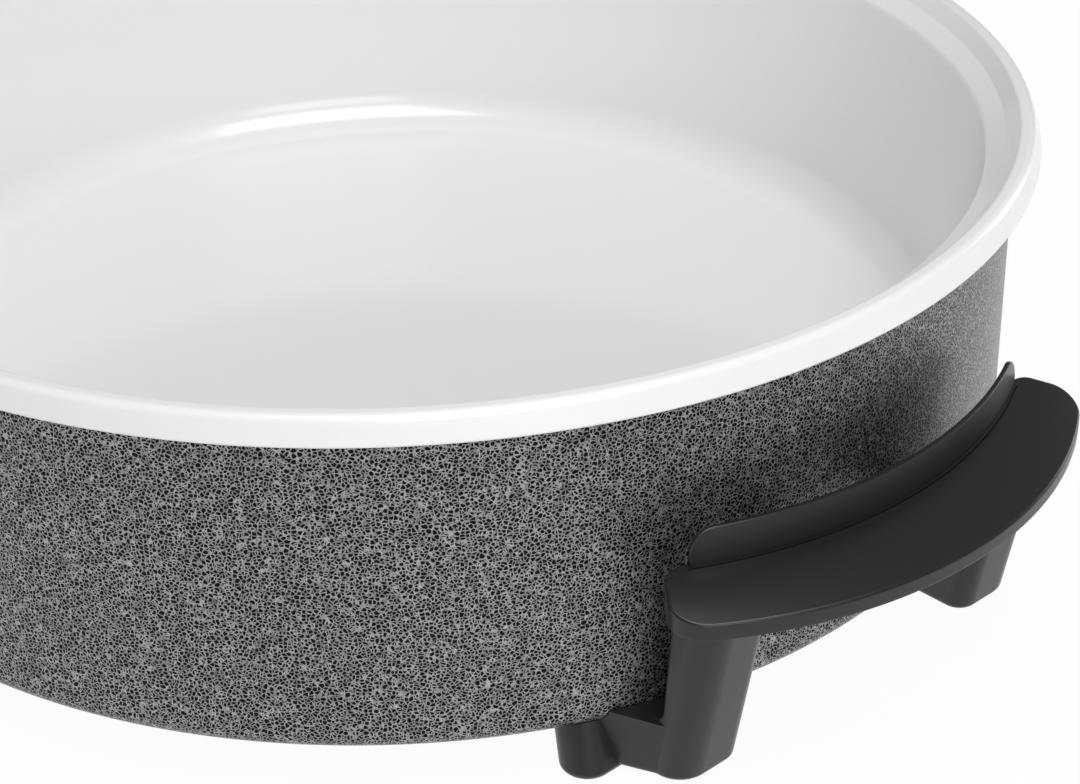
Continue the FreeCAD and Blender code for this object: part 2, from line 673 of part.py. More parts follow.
def heater_route(body, name):
    """The element's centre line: two straight ends bent into a ring."""
    sketch = new_sketch(body, name, "XY_Plane", {"z": "heater_level"})
    ring, bend, side = value("heater_radius"), value("heater_bend"), value("pin_spread")
    end = value(heater_end)
    centre = Vector(-math.sqrt((ring + bend) ** 2 - (side + bend) ** 2), side + bend, 0)
    meet = centre * (ring / (ring + bend))
    angle = math.atan2(meet.y, meet.x)
    up = Vector(0, 0, 1)
    lower = Vector(centre.x, -centre.y, 0)
    first = sketch.addGeometry(Part.LineSegment(Vector(-end, side, 0), Vector(centre.x, side, 0)), False)
    bend_a = sketch.addGeometry(Part.ArcOfCircle(
        Part.Circle(centre, up, bend), -math.pi / 2, angle - math.pi), False)
    loop = sketch.addGeometry(Part.ArcOfCircle(Part.Circle(Vector(), up, ring), -angle, angle), False)
    bend_b = sketch.addGeometry(Part.ArcOfCircle(
        Part.Circle(lower, up, bend), math.pi - angle, math.pi / 2), False)
    last = sketch.addGeometry(Part.LineSegment(Vector(centre.x, -side, 0), Vector(-end, -side, 0)), False)
    ties = [("Tangent", first, 2, bend_a, 1), ("Tangent", bend_a, 2, loop, 2),
            ("Tangent", loop, 1, bend_b, 1), ("Tangent", bend_b, 2, last, 1),
            ("Coincident", loop, 3, -1, 1), ("Horizontal", first), ("Horizontal", last)]
    for tie in ties:
        sketch.addConstraint(Sketcher.Constraint(*tie))
    place_point(sketch, first, 1, "-" + heater_end, "pin_spread")
    place_point(sketch, last, 2, "-" + heater_end, "-pin_spread")
    for arc, text in ((loop, "heater_radius"), (bend_a, "heater_bend"), (bend_b, "heater_bend")):
        index = sketch.addConstraint(Sketcher.Constraint("Radius", arc, value(text)))
        sketch.setExpression("Constraints[%d]" % index, cells(text))
    sketch.Visibility = False
    return sketch


def heater_sweep(body, name, radius, kind):
    route = heater_route(body, name + "_route")
    profile = circles(body, name + "_round", "YZ_Plane",
                      [("pin_spread", "heater_level", radius)], {"z": "-" + heater_end})
    doc.recompute()
    pipe = body.newObject("PartDesign::" + kind, name)
    pipe.Profile = profile
    pipe.Spine = (route, ["Edge%d" % i for i in range(1, 6)])
    profile.Visibility = False
    return pipe


def heating_element():
    body = new_body("heating_element")
    heater_sweep(body, "element_tube", "heater_tube", "AdditivePipe")
    return keep(body)


guide_radius = "(probe_radius + pin_play + guide_sheet)"
spreader_under = "(floor_level - pan_sheet - spreader_tall)"


def heat_spreader():
    """Plate under the bowl with the element's groove, a probe groove and tapped stud holes."""
    body = new_body("heat_spreader")
    plate = circles(body, "spreader_outline", "XY_Plane", [("0", "0", "spreader_radius")],
                    {"z": spreader_under})
    pad(body, plate, "spreader_plate", "spreader_tall")
    doc.recompute()
    heater_sweep(body, "element_groove", "heater_tube + heater_play", "SubtractivePipe")
    doc.recompute()
    holes = circles(body, "screw_hole_centres", "XY_Plane", [
        stud_spot(i) + ("stud_radius + fit_play",) for i in range(3)], {"z": spreader_under})
    pad(body, holes, "screw_holes", "stud_bite + 0.2", cut=True, back=True)
    doc.recompute()
    probe = circles(body, "probe_groove_round", "YZ_Plane",
                    [("0", "heater_level", guide_radius + " + heater_play")],
                    {"z": "-spreader_radius - 1"})
    pad(body, probe, "probe_groove", "17.3", cut=True, back=True)
    doc.recompute()
    return keep(body)


def element_clips():
    """Straps that hold the element in its groove."""
    clips = []
    inner = "(heater_tube + 0.1)"
    for i, (x, y) in enumerate((("heater_radius", "0"), ("0", "heater_radius"), ("0", "-heater_radius"))):
        along = i == 0
        half = inner + " + clip_sheet"
        low = "heater_level - heater_tube - 0.1 - clip_sheet"
        tall = spreader_under + " - (" + low + ")"
        size = ("2*(" + half + ")", "clip_width") if along else ("clip_width", "2*(" + half + ")")
        hole = ("2*" + inner, "clip_width + 2") if along else ("clip_width + 2", "2*" + inner)
        strap = slab("strap_%d" % i, size[0], size[1], tall,
                     ("%s - (%s)/2" % (x, size[0]), "%s - (%s)/2" % (y, size[1]), low))
        gap = slab("strap_gap_%d" % i, hole[0], hole[1], tall,
                   ("%s - (%s)/2" % (x, hole[0]), "%s - (%s)/2" % (y, hole[1]), low + " + clip_sheet"))
        clips.append(less("element_clip_%d" % i, strap, gap))
    return keep(group("element_clips", *clips))


def heat_shield():
    """Thin dish that keeps the heat off the casing's bottom."""
    dish = rod("shield_dish", "shield_radius", "shield_lip", ("0", "0", "shield_level"))
    hollow = rod("shield_hollow", "shield_radius - shield_sheet", "shield_lip",
                 ("0", "0", "shield_level + shield_sheet"))
    holes = [rod("shield_hole_%d" % i, "stud_radius + fit_play", "shield_lip",
                 stud_spot(i) + ("shield_level - 1",)) for i in range(3)]
    return keep(less("heat_shield", dish, hollow, *holes))


def casing_screws():
    """Countersunk screws through casing and shield into the spreader, with their spacers."""
    screws, spacers = [], []
    for i in range(3):
        spot = stud_spot(i)
        head = cone("stud_cone_%d" % i, "stud_head", "stud_radius", "stud_head - stud_radius", spot + ("0",))
        shank = rod("stud_%d" % i, "stud_radius", spreader_under + " + stud_bite", spot + ("0",))
        screws.append(joined("casing_screw_%d" % i, head, shank))
        gaps = (("casing_sheet", "shield_level"), ("shield_level + shield_sheet", spreader_under))
        for j, (low, high) in enumerate(gaps):
            tall = high + " - (" + low + ")"
            tag = "%d%d" % (i, j)
            tools = [rod("spacer_bore_" + tag, "stud_radius + fit_play", tall, spot + (low,))]
            if j == 0:
                tools.append(cone("spacer_sink_" + tag, sink_radius("0"), sink_radius("2*casing_sheet"),
                                  "2*casing_sheet", spot + ("0",)))
            spacers.append(less("screw_spacer_" + tag,
                                rod("spacer_" + tag, "spacer_radius", tall, spot + (low,)), *tools))
    keep(group("casing_screws", *screws))
    keep(group("screw_spacers", *spacers))


# Inlet

block_face = "(sqrt((casing_radius - casing_sheet)^2 - (block_wide/2)^2) - seat_gap)"
blade_place = "(pin_spread/2)"


def inlet_block():
    """Insulating block behind the window, bored for the pins, the guide and the earth blade."""
    block = slab("block_body", "block_long", "block_wide", "block_tall",
                 ("-" + block_face, "-block_wide/2", "heater_level - block_tall/2"))
    reach = "block_long + 2"
    start = "-" + block_face + " - 1"
    tools = []
    for side in ("", "-"):
        y = side + "pin_spread"
        tools.append(rod("pin_hole" + side.replace("-", "_b"), "pin_radius + heater_play", reach,
                         (start, y, "heater_level"), "x"))
        tools.append(rod("tube_hole" + side.replace("-", "_b"), "heater_tube + heater_play", reach,
                         ("-" + heater_end, y, "heater_level"), "x"))
        tools.append(rod("fixing_hole" + side.replace("-", "_b"), "small_screw + 0.02", "block_long - 2",
                         (start, side + "shroud_screw", "heater_level"), "x"))
    tools.append(rod("guide_hole", guide_radius + " + heater_play", reach, (start, "0", "heater_level"), "x"))
    tools.append(slab("blade_hole", reach, "earth_sheet + 0.1", "earth_wide + 0.1",
                      (start, blade_place + " - earth_sheet/2 - 0.05",
                       "heater_level - earth_wide/2 - 0.05")))
    return keep(less("inlet_block", block, *tools))


def contact_pins():
    pins = []
    for side in ("", "-"):
        pin = rod("pin" + side.replace("-", "_b"), "pin_radius", "casing_radius + pin_reach - " + heater_end,
                  ("-casing_radius - pin_reach", side + "pin_spread", "heater_level"), "x")
        pins.append(pin)
    return keep(group("contact_pins", *pins))


def earth_blade():
    inner = "sqrt(spreader_radius^2 - (%s + earth_sheet/2)^2)" % blade_place
    blade = slab("earth_blade", "casing_radius + pin_reach - (%s) - 0.1" % inner, "earth_sheet", "earth_wide",
                 ("-casing_radius - pin_reach", blade_place + " - earth_sheet/2",
                  "heater_level - earth_wide/2"))
    return keep(blade, "earth_blade")


shroud_back = "(casing_radius + 3.5)"


def probe_guide():
    """Tube that leads the probe to the heat spreader, closed at its inner end."""
    outer = rod("guide_tube", guide_radius, shroud_back + " - spreader_radius + 16",
                ("-" + shroud_back, "0", "heater_level"), "x")
    bore = rod("guide_bore", "probe_radius + pin_play", shroud_back + " - spreader_radius + 14",
               ("-" + shroud_back, "0", "heater_level"), "x")
    return keep(less("probe_guide", outer, bore))


def inlet_shroud():
    """Frame round the pins, shaped to the casing, with a back that its screws hold."""
    body = new_body("inlet_shroud")
    front = "casing_radius + shroud_deep"

    def plate(name, wide, tall, rounding, start, length, cut=False):
        corners = [(a + "(" + wide + ")/2", "heater_level + " + b + "(" + tall + ")/2", rounding)
                   for a, b in (("-", "-"), ("", "-"), ("", ""), ("-", ""))]
        sketch = outline(body, name + "_outline", "YZ_Plane", corners, {"z": "-(" + start + ")"})
        return pad(body, sketch, name, length, cut=cut, back=cut)

    plate("shroud_block", "shroud_wide", "shroud_tall", "4", front, "shroud_deep + 8")
    doc.recompute()
    plate("shroud_mouth", "shroud_wide - 2*shroud_wall", "shroud_tall - 2*shroud_wall", "2",
          front, front + " - " + shroud_back, cut=True)
    doc.recompute()
    plate("shroud_window", "window_wide", "window_tall", "window_round", front, "shroud_deep + 9", cut=True)
    doc.recompute()
    seat = outline(body, "shroud_seat_section", "XZ_Plane", [
        ("0", "-20"), ("casing_radius + seat_gap", "-20"), ("casing_radius + seat_gap", "60"), ("0", "60")])
    turn(body, seat, "shroud_seat", cut=True)
    doc.recompute()
    fixings = circles(body, "shroud_fixings", "YZ_Plane", [
        (side + "shroud_screw", "heater_level", "small_screw + 0.2") for side in ("", "-")],
        {"z": "-(" + front + ")"})
    pad(body, fixings, "shroud_holes", "shroud_deep + 9", cut=True, back=True)
    doc.recompute()
    return keep(body)


def shroud_screws():
    screws = []
    for side in ("", "-"):
        tag = side.replace("-", "_b")
        y = side + "shroud_screw"
        shank = rod("shroud_shank" + tag, "small_screw", "12", ("-" + shroud_back, y, "heater_level"), "x")
        head = rod("shroud_head" + tag, "small_head", "small_head_tall",
                   ("-" + shroud_back + " - small_head_tall", y, "heater_level"), "x")
        screws.append(joined("shroud_screw" + tag, shank, head))
    return keep(group("shroud_screws", *screws))


# Thermostat control

control_front = "(casing_radius + shroud_deep + control_gap)"
control_back = "(casing_radius + shroud_deep + control_gap + control_long)"
nose_front = "(casing_radius + 3.5 + small_head_tall + 0.9)"
screw_rows = ("28", "control_long - 12")
screw_side = "23"
dial_x = "-(casing_radius + shroud_deep + control_gap + dial_place)"
lamp_x = "-(casing_radius + shroud_deep + control_gap + lamp_place)"
cover_top = "(heater_level + control_tall/2)"
base_under = "(heater_level - control_tall/2)"


def control_half(label, upper):
    """One half of the control's housing: wall, nose round the contacts and four screw bosses."""
    body = new_body(label)
    split = "heater_level"
    tall = "control_tall/2"

    def plan(name, inset, level, length, cut=False, back=False):
        left, right = "-" + control_back + " + " + inset, "-" + control_front + " - " + inset
        side = "control_wide/2 - " + inset
        corners = [(left, "-(" + side + ")", "control_round - " + inset),
                   (right, "-(" + side + ")", "3.4 - " + inset),
                   (right, side, "3.4 - " + inset),
                   (left, side, "control_round - " + inset)]
        sketch = outline(body, name + "_outline", "XY_Plane", corners, {"z": level})
        return pad(body, sketch, name, length, cut=cut, back=back)

    shell = plan(label + "_block", "0", split, tall, back=not upper)
    face = value(cover_top if upper else base_under)
    rounded = round_edges(body, shell, label + "_edges", "control_edge",
                          lambda e, m: abs(m.z - face) < 1e-6)
    doc.recompute()
    plan(label + "_hollow", "control_wall", split, tall + " - control_wall", cut=True, back=upper)
    doc.recompute()
    nose = [("-" + control_front + " - 4", "-(shroud_wide/2 - shroud_wall - nose_play)"),
            ("-" + nose_front, "-(shroud_wide/2 - shroud_wall - nose_play)"),
            ("-" + nose_front, "shroud_wide/2 - shroud_wall - nose_play"),
            ("-" + control_front + " - 4", "shroud_wide/2 - shroud_wall - nose_play")]
    nose_sketch = outline(body, label + "_nose_outline", "XY_Plane", nose, {"z": split})
    pad(body, nose_sketch, label + "_nose", "shroud_tall/2 - shroud_wall - nose_play", back=not upper)
    doc.recompute()
    bosses = circles(body, label + "_boss_centres", "XY_Plane", [
        ("-" + control_front + " - (" + row + ")", side + screw_side, "screw_boss")
        for row in screw_rows for side in ("", "-")], {"z": split})
    pad(body, bosses, label + "_bosses", tall + " - control_wall/2", back=not upper)
    doc.recompute()
    holes = circles(body, label + "_screw_centres", "XY_Plane", [
        ("-" + control_front + " - (" + row + ")", side + screw_side, "small_screw + 0.02")
        for row in screw_rows for side in ("", "-")], {"z": split})
    depth = "14" if upper else tall
    pad(body, holes, label + "_screw_holes", depth, cut=True, back=upper)
    doc.recompute()
    if not upper:
        sinks = circles(body, label + "_sinks", "XY_Plane", [
            ("-" + control_front + " - (" + row + ")", side + screw_side, "small_head + 0.2")
            for row in screw_rows for side in ("", "-")], {"z": base_under})
        pad(body, sinks, label + "_screw_sinks", "small_head_tall + 0.4", cut=True, back=True)
        ribs = outline(body, label + "_rib_outline", "XY_Plane", [
            ("-" + control_front + " - 16", "-24"), ("-" + control_front + " - 6", "-24"),
            ("-" + control_front + " - 6", "24"), ("-" + control_front + " - 16", "24")],
            {"z": base_under + " + 1"})
        doc.recompute()
        pad(body, ribs, label + "_block_seat", tall + " - 8")
        posts = circles(body, label + "_post_centres", "XY_Plane", [
            ("-" + control_front + " - " + place, "0", "4") for place in ("28", "80")],
            {"z": base_under + " + 1"})
        pad(body, posts, label + "_posts", "frame_level - (" + base_under + ") - 1")
        doc.recompute()
    else:
        tops = circles(body, label + "_top_holes", "XY_Plane", [
            (dial_x, "0", "shaft_radius + shaft_play"), (lamp_x, "0", "lamp_radius + fit_play")],
            {"z": cover_top})
        pad(body, tops, label + "_shaft_and_lamp_holes", "control_wall + 1", cut=True)
        doc.recompute()
    fronts = circles(body, label + "_front_centres", "YZ_Plane", [
        ("pin_spread", "heater_level", "sleeve_radius + fit_play"),
        ("-pin_spread", "heater_level", "sleeve_radius + fit_play"),
        ("0", "heater_level", "bush_radius + fit_play")], {"z": "-" + nose_front + " + 1"})
    pad(body, fronts, label + "_front_holes", control_front + " - " + nose_front + " + 6", cut=True)
    doc.recompute()
    slot = outline(body, label + "_slot_outline", "YZ_Plane", [
        (blade_place + " - earth_sheet/2 - 0.2", "heater_level - earth_wide/2 - 0.2"),
        (blade_place + " + earth_sheet/2 + 0.2", "heater_level - earth_wide/2 - 0.2"),
        (blade_place + " + earth_sheet/2 + 0.2", "heater_level + earth_wide/2 + 0.2"),
        (blade_place + " - earth_sheet/2 - 0.2", "heater_level + earth_wide/2 + 0.2")],
        {"z": "-" + nose_front + " + 1"})
    pad(body, slot, label + "_earth_slot", control_front + " - " + nose_front + " + 6", cut=True)
    doc.recompute()
    gland = circles(body, label + "_gland_centre", "YZ_Plane",
                    [("0", "heater_level", "gland_radius + fit_play")], {"z": "-" + control_back + " - 1"})
    pad(body, gland, label + "_gland_hole", "control_wall + 2", cut=True, back=True)
    doc.recompute()
    return keep(body)


def tube(label, outer, bore, start, length):
    """A tube along the pins' direction."""
    return less(label, rod(label + "_outer", outer, length, start, "x"),
                rod(label + "_bore", bore, length, start, "x"))


def control_contacts():
    sleeves = [tube("contact_sleeve_%d" % i, "sleeve_radius", "pin_radius + pin_play",
                    ("-" + control_front + " - 18", side + "pin_spread", "heater_level"),
                    control_front + " - " + nose_front + " + 18 - 0.6")
               for i, side in enumerate(("", "-"))]
    keep(group("contact_sleeves", *sleeves))
    block = slab("sleeve_block_body", "10", "46", "14",
                 ("-" + control_front + " - 16", "-23", "heater_level - 7"))
    holes = [rod("sleeve_hole_%d" % i, "sleeve_radius + fit_play", "12",
                 ("-" + control_front + " - 17", y, "heater_level"), "x")
             for i, y in enumerate(("pin_spread", "-pin_spread"))]
    probe_hole = rod("block_probe_hole", "probe_radius + fit_play", "12",
                     ("-" + control_front + " - 17", "0", "heater_level"), "x")
    blade_hole = slab("block_blade_hole", "12", "earth_sheet + 0.4", "earth_wide + 0.4",
                      ("-" + control_front + " - 17", blade_place + " - earth_sheet/2 - 0.2",
                       "heater_level - earth_wide/2 - 0.2"))
    keep(less("sleeve_block", block, probe_hole, blade_hole, *holes))
    keep(tube("probe_bush", "bush_radius", "probe_radius + 0.02",
              ("-" + control_front + " - 5.8", "0", "heater_level"),
              control_front + " - " + nose_front + " + 5.8"))
    stem = rod("probe_stem", "probe_radius", "probe_reach + 20 - probe_radius",
               ("-" + control_front + " - 20", "0", "heater_level"), "x")
    tip = doc.addObject("Part::Sphere", "probe_tip")
    bind(tip, Radius="probe_radius")
    locate(tip, ("-" + control_front + " + probe_reach - probe_radius", "0", "heater_level"))
    keep(joined("probe_rod", stem, tip))


def thermostat():
    """Frame plate, stack, bimetal and contact blades below the dial's cam."""
    plate = slab("frame_plate", "62", "14", "1.5", ("-" + control_front + " - 86", "-7", "frame_level"))
    bearing = rod("frame_bearing", "shaft_radius + shaft_play", "4", (dial_x, "0", "frame_level - 1"))
    keep(less("thermostat_frame", plate, bearing))
    keep(slab("stack_body", "8", "22", "10", ("-" + control_front + " - 34", "-11", "frame_level + 1.5")),
         "insulating_stack")
    keep(slab("bimetal", "52", "6", "0.7", ("-" + control_front + " - 86", "4.5", "frame_level + 9")),
         "bimetal_blade")
    keep(slab("contact", "52", "6", "0.5", ("-" + control_front + " - 86", "-10.5", "frame_level + 9")),
         "contact_blade")


def lamp():
    lens = rod("lens_stem", "lamp_radius", "4", (lamp_x, "0", cover_top + " - 3"))
    crown = rod("lens_crown", "lamp_radius + 0.8", "1.4", (lamp_x, "0", cover_top))
    dome = joined("lens_shape", lens, crown)
    lens_round = doc.addObject("Part::Feature", "lamp_lens")
    doc.recompute()
    top = [e for e in dome.Shape.Edges if abs(e.BoundBox.ZMin - value(cover_top + " + 1.4")) < 1e-6]
    lens_round.Shape = dome.Shape.makeFillet(0.9, top)
    keep(lens_round)
    keep(rod("neon", "lamp_radius - 1.4", "11", (lamp_x, "0", cover_top + " - 14")), "neon_lamp")


def cord_gland():
    """Bush in the control's back wall with its collar inside."""
    sleeve = rod("gland_sleeve", "gland_radius", "gland_reach + control_wall + gland_collar",
                 ("-" + control_back + " - gland_reach", "0", "heater_level"), "x")
    collar = rod("gland_flange", "gland_radius + gland_collar", "gland_collar",
                 ("-" + control_back + " + control_wall", "0", "heater_level"), "x")
    bore = rod("gland_hole", "gland_bore", "gland_reach + control_wall + gland_collar",
               ("-" + control_back + " - gland_reach", "0", "heater_level"), "x")
    return keep(less("cord_gland", joined("gland_body", sleeve, collar), bore))


def control_screws():
    screws = []
    for i, row in enumerate(screw_rows):
        for j, side in enumerate(("", "-")):
            x = "-" + control_front + " - (" + row + ")"
            low = base_under + " + 0.4"
            head = rod("screw_head_%d%d" % (i, j), "small_head", "small_head_tall",
                       (x, side + screw_side, low))
            shank = rod("screw_shank_%d%d" % (i, j), "small_screw", "27",
                        (x, side + screw_side, low + " + small_head_tall"))
            screws.append(joined("control_screw_%d%d" % (i, j), head, shank))
    return keep(group("control_screws", *screws))


# Dial

dial_under = "(heater_level + control_tall/2 + dial_play)"


def dial():
    """Flat skirt for the scale under a fluted hub that fingers turn."""
    body = new_body("temperature_dial")
    skirt = circles(body, "dial_skirt_round", "XY_Plane", [(dial_x, "0", "dial_radius")],
                    {"z": dial_under})
    skirt_pad = pad(body, skirt, "dial_skirt", "dial_tall*0.35")
    top = value(dial_under + " + dial_tall*0.35")
    round_edges(body, skirt_pad, "dial_skirt_bevel", "1.2",
                lambda e, m: abs(m.z - top) < 1e-6, "Chamfer")
    doc.recompute()
    hub = circles(body, "dial_hub_round", "XY_Plane", [(dial_x, "0", "dial_radius*0.68")],
                  {"z": dial_under})
    hub_pad = pad(body, hub, "dial_hub", "dial_tall")
    crown = value(dial_under + " + dial_tall")
    doc.recompute()
    round_edges(body, hub_pad, "dial_hub_round_top", "1.5",
                lambda e, m: abs(m.z - crown) < 1e-6)
    doc.recompute()
    count = int(value("dial_flutes"))
    grooves = []
    for i in range(count):
        angle = 360.0 * i / count
        grooves.append(("%s + dial_radius*0.72 * cos(%.3f deg)" % (dial_x, angle),
                        "dial_radius*0.72 * sin(%.3f deg)" % angle, "flute_radius"))
    flutes = circles(body, "dial_flute_rounds", "XY_Plane", grooves,
                     {"z": dial_under + " + dial_tall*0.35 + 0.01"})
    pad(body, flutes, "dial_grooves", "dial_tall", cut=True, back=True)
    socket = circles(body, "dial_socket_round", "XY_Plane", [(dial_x, "0", "shaft_radius + 0.02")],
                     {"z": dial_under + " - 1"})
    doc.recompute()
    pad(body, socket, "dial_socket", "dial_tall - 1.5", cut=True, back=True)
    doc.recompute()
    keep(body)


def dial_shaft():
    """Shaft in the frame and the cover, carrying an eccentric cam."""
    shaft = rod("shaft", "shaft_radius", dial_under + " + dial_tall - 3 - frame_level - 0.2",
                (dial_x, "0", "frame_level + 0.2"))
    return keep(shaft, "dial_shaft")


def dial_cam():
    disc = rod("cam_disc", "cam_radius", "cam_tall", (dial_x + " + cam_shift", "0", "frame_level + 10.2"))
    bore = rod("cam_bore", "shaft_radius + 0.02", "cam_tall", (dial_x, "0", "frame_level + 10.2"))
    return keep(less("dial_cam", disc, bore))


inner_pan()
outer_casing()
rim_gasket()
handle("plain_handle", Rotation())
handle("inlet_handle", Rotation(Vector(0, 0, 1), 180))
foot_pads()
handle_bracket("plain_bracket", Rotation())
handle_bracket("inlet_bracket", Rotation(Vector(0, 0, 1), 180))
handle_screws()
heating_element()
heat_spreader()
element_clips()
heat_shield()
casing_screws()
inlet_block()
contact_pins()
earth_blade()
probe_guide()
inlet_shroud()
shroud_screws()
control_half("control_base", False)
control_half("control_cover", True)
control_contacts()
thermostat()
lamp()
cord_gland()
control_screws()
dial()
dial_shaft()
dial_cam()

doc.recompute()


# Check every object before anything is written

bad = [item.Name for item in doc.Objects if {"Invalid", "Error"} & set(item.State)]
if bad:
    raise RuntimeError("failed objects: " + ", ".join(bad))
for node in nodes:
    if node.Shape.isNull() or not node.Shape.isValid() or not node.Shape.Solids:
        raise RuntimeError("bad shape: " + node.Label)

os.makedirs("parts", exist_ok=True)
for node in nodes:
    node.Shape.exportStep("parts/%s.step" % node.Label)
    print("%-22s solids %d volume %.1f" % (node.Label, len(node.Shape.Solids), node.Shape.Volume))
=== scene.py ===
import math

import bmesh
import bpy
from mathutils import Matrix, Vector


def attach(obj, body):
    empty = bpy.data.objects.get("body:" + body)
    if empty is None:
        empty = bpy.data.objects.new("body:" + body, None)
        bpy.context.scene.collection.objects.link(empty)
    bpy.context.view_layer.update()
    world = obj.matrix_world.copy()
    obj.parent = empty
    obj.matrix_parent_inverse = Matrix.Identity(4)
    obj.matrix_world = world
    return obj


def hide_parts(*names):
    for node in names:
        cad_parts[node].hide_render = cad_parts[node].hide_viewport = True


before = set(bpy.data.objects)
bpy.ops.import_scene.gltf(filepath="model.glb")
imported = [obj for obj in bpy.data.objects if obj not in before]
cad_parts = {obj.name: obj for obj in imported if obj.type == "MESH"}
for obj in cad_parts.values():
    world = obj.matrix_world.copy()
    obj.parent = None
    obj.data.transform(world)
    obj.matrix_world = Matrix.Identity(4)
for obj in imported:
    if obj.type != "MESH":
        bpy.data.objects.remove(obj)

scene = bpy.context.scene
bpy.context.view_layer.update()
mm = 0.001
print("frame loaded:", len(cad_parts), "nodes")

# Lengths below are in millimetres unless a name says metres; meshes are scaled once, at the end.


# Shared mesh steps

def roundedPath(corners, steps=8):
    # corners are (x, y) or (x, y, radius), any way round
    points = []
    count = len(corners)
    for i, corner in enumerate(corners):
        here = Vector(corner[:2])
        if len(corner) == 2 or corner[2] <= 0:
            points.append(here)
            continue
        back = (Vector(corners[i - 1][:2]) - here).normalized()
        forth = (Vector(corners[(i + 1) % count][:2]) - here).normalized()
        half = back.angle(forth) / 2
        centre = here + (back + forth).normalized() * (corner[2] / math.sin(half))
        first = here + back * (corner[2] / math.tan(half)) - centre
        last = here + forth * (corner[2] / math.tan(half)) - centre
        swing = math.atan2(first.x * last.y - first.y * last.x, first.dot(last))
        for k in range(steps + 1):
            turn = Matrix.Rotation(swing * k / steps, 2)
            points.append(centre + turn @ first)
    return points


def insetPath(points, distance):
    # moves a counter-clockwise closed outline inwards
    moved = []
    for i, here in enumerate(points):
        a = (here - points[i - 1])
        b = (points[(i + 1) % len(points)] - here)
        if a.length < 1e-9:
            a = b
        if b.length < 1e-9:
            b = a
        na = Vector((-a.y, a.x)).normalized()
        nb = Vector((-b.y, b.x)).normalized()
        moved.append(here + (na + nb) * (distance / max(0.3, 1 + na.dot(nb))))
    return moved


def joinRows(bm, rows):
    # one band of faces between each two rows
    count = len(rows[0])
    for low, high in zip(rows, rows[1:]):
        for i in range(count):
            j = (i + 1) % count
            bm.faces.new((low[i], low[j], high[j], high[i]))


def loft(bm, rings, ladder=False):
    # closed rings of equal count, low to high, capped at both ends by one face or by a ladder of quads
    rows = [[bm.verts.new(p) for p in ring] for ring in rings]
    count = len(rows[0])
    joinRows(bm, rows)
    for row, flip in ((rows[0], True), (rows[-1], False)):
        if not ladder:
            bm.faces.new(list(reversed(row)) if flip else row)
            continue
        for i in range(count // 2 - 1):
            quad = [row[i], row[i + 1], row[count - 2 - i], row[count - 1 - i]]
            bm.faces.new(list(reversed(quad)) if flip else quad)


def lathe(bm, path, turns):
    # path of (radius, height); ends on the axis close by themselves
    rings = []
    for radius, height in path:
        if radius < 1e-6:
            rings.append([bm.verts.new((0, 0, height))])
            continue
        ring = []
        for k in range(turns):
            angle = 2 * math.pi * k / turns
            ring.append(bm.verts.new((radius * math.cos(angle), radius * math.sin(angle), height)))
        rings.append(ring)
    closed = len(rings[0]) > 1
    pairs = list(zip(rings, rings[1:])) + ([(rings[-1], rings[0])] if closed else [])
    for a, b in pairs:
        for k in range(turns):
            m = (k + 1) % turns
            if len(a) == 1:
                bm.faces.new((a[0], b[m], b[k]))
            elif len(b) == 1:
                bm.faces.new((a[k], a[m], b[0]))
            else:
                bm.faces.new((a[k], a[m], b[m], b[k]))


def newObject(name, bm, scale=mm):
    bmesh.ops.remove_doubles(bm, verts=bm.verts, dist=1e-4)
    bmesh.ops.recalc_face_normals(bm, faces=bm.faces)
    mesh = bpy.data.meshes.new(name)
    bm.to_mesh(mesh)
    bm.free()
    mesh.transform(Matrix.Scale(scale, 4))
    obj = bpy.data.objects.new(name, mesh)
    scene.collection.objects.link(obj)
    return obj


def combine(obj, others, operation):
    # booleans of closed meshes, one after another; the tools are removed
    for other in others:
        step = obj.modifiers.new(operation.lower(), "BOOLEAN")
        step.operation = operation
        step.solver = "MANIFOLD"
        step.object = other
        graph = bpy.context.evaluated_depsgraph_get()
        mesh = bpy.data.meshes.new_from_object(obj.evaluated_get(graph))
        obj.modifiers.clear()
        obj.data = mesh
        bpy.data.objects.remove(other)
    return obj


def smooth(obj, angle=32):
    for face in obj.data.polygons:
        face.use_smooth = True
    obj.data.set_sharp_from_angle(angle=math.radians(angle))
    weighted = obj.modifiers.new("weighted normals", "WEIGHTED_NORMAL")
    weighted.keep_sharp = True
    weighted.weight = 80
    return obj


def place(obj, body, slot, material, *nodes):
    obj.data.materials.clear()
    obj.data.materials.append(material)
    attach(obj, body)
    if nodes:
        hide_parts(*nodes)
    return obj


def rodAlongX(radius, start, end, y, z, sides=48):
    bm = bmesh.new()
    rings = []
    for x in (start, end):
        rings.append([(x, y + radius * math.cos(t), z + radius * math.sin(t))
                      for t in (2 * math.pi * k / sides for k in range(sides))])
    loft(bm, rings)
    return newObject("rod", bm)


def rodAlongZ(radius, x, y, low, high, sides=64):
    bm = bmesh.new()
    rings = [[(x + radius * math.cos(t), y + radius * math.sin(t), z)
              for t in (2 * math.pi * k / sides for k in range(sides))] for z in (low, high)]
    loft(bm, rings)
    return newObject("rod", bm)


# Shader groups

def newGroup(name, inputs, outputs):
    group = bpy.data.node_groups.new(name, "ShaderNodeTree")
    for label, kind, value in inputs:
        socket = group.interface.new_socket(label, in_out="INPUT", socket_type="NodeSocket" + kind)
        socket.default_value = value
    for label, kind in outputs:
        group.interface.new_socket(label, in_out="OUTPUT", socket_type="NodeSocket" + kind)
    tree = group.nodes
    return group, tree, tree.new("NodeGroupInput"), tree.new("NodeGroupOutput")


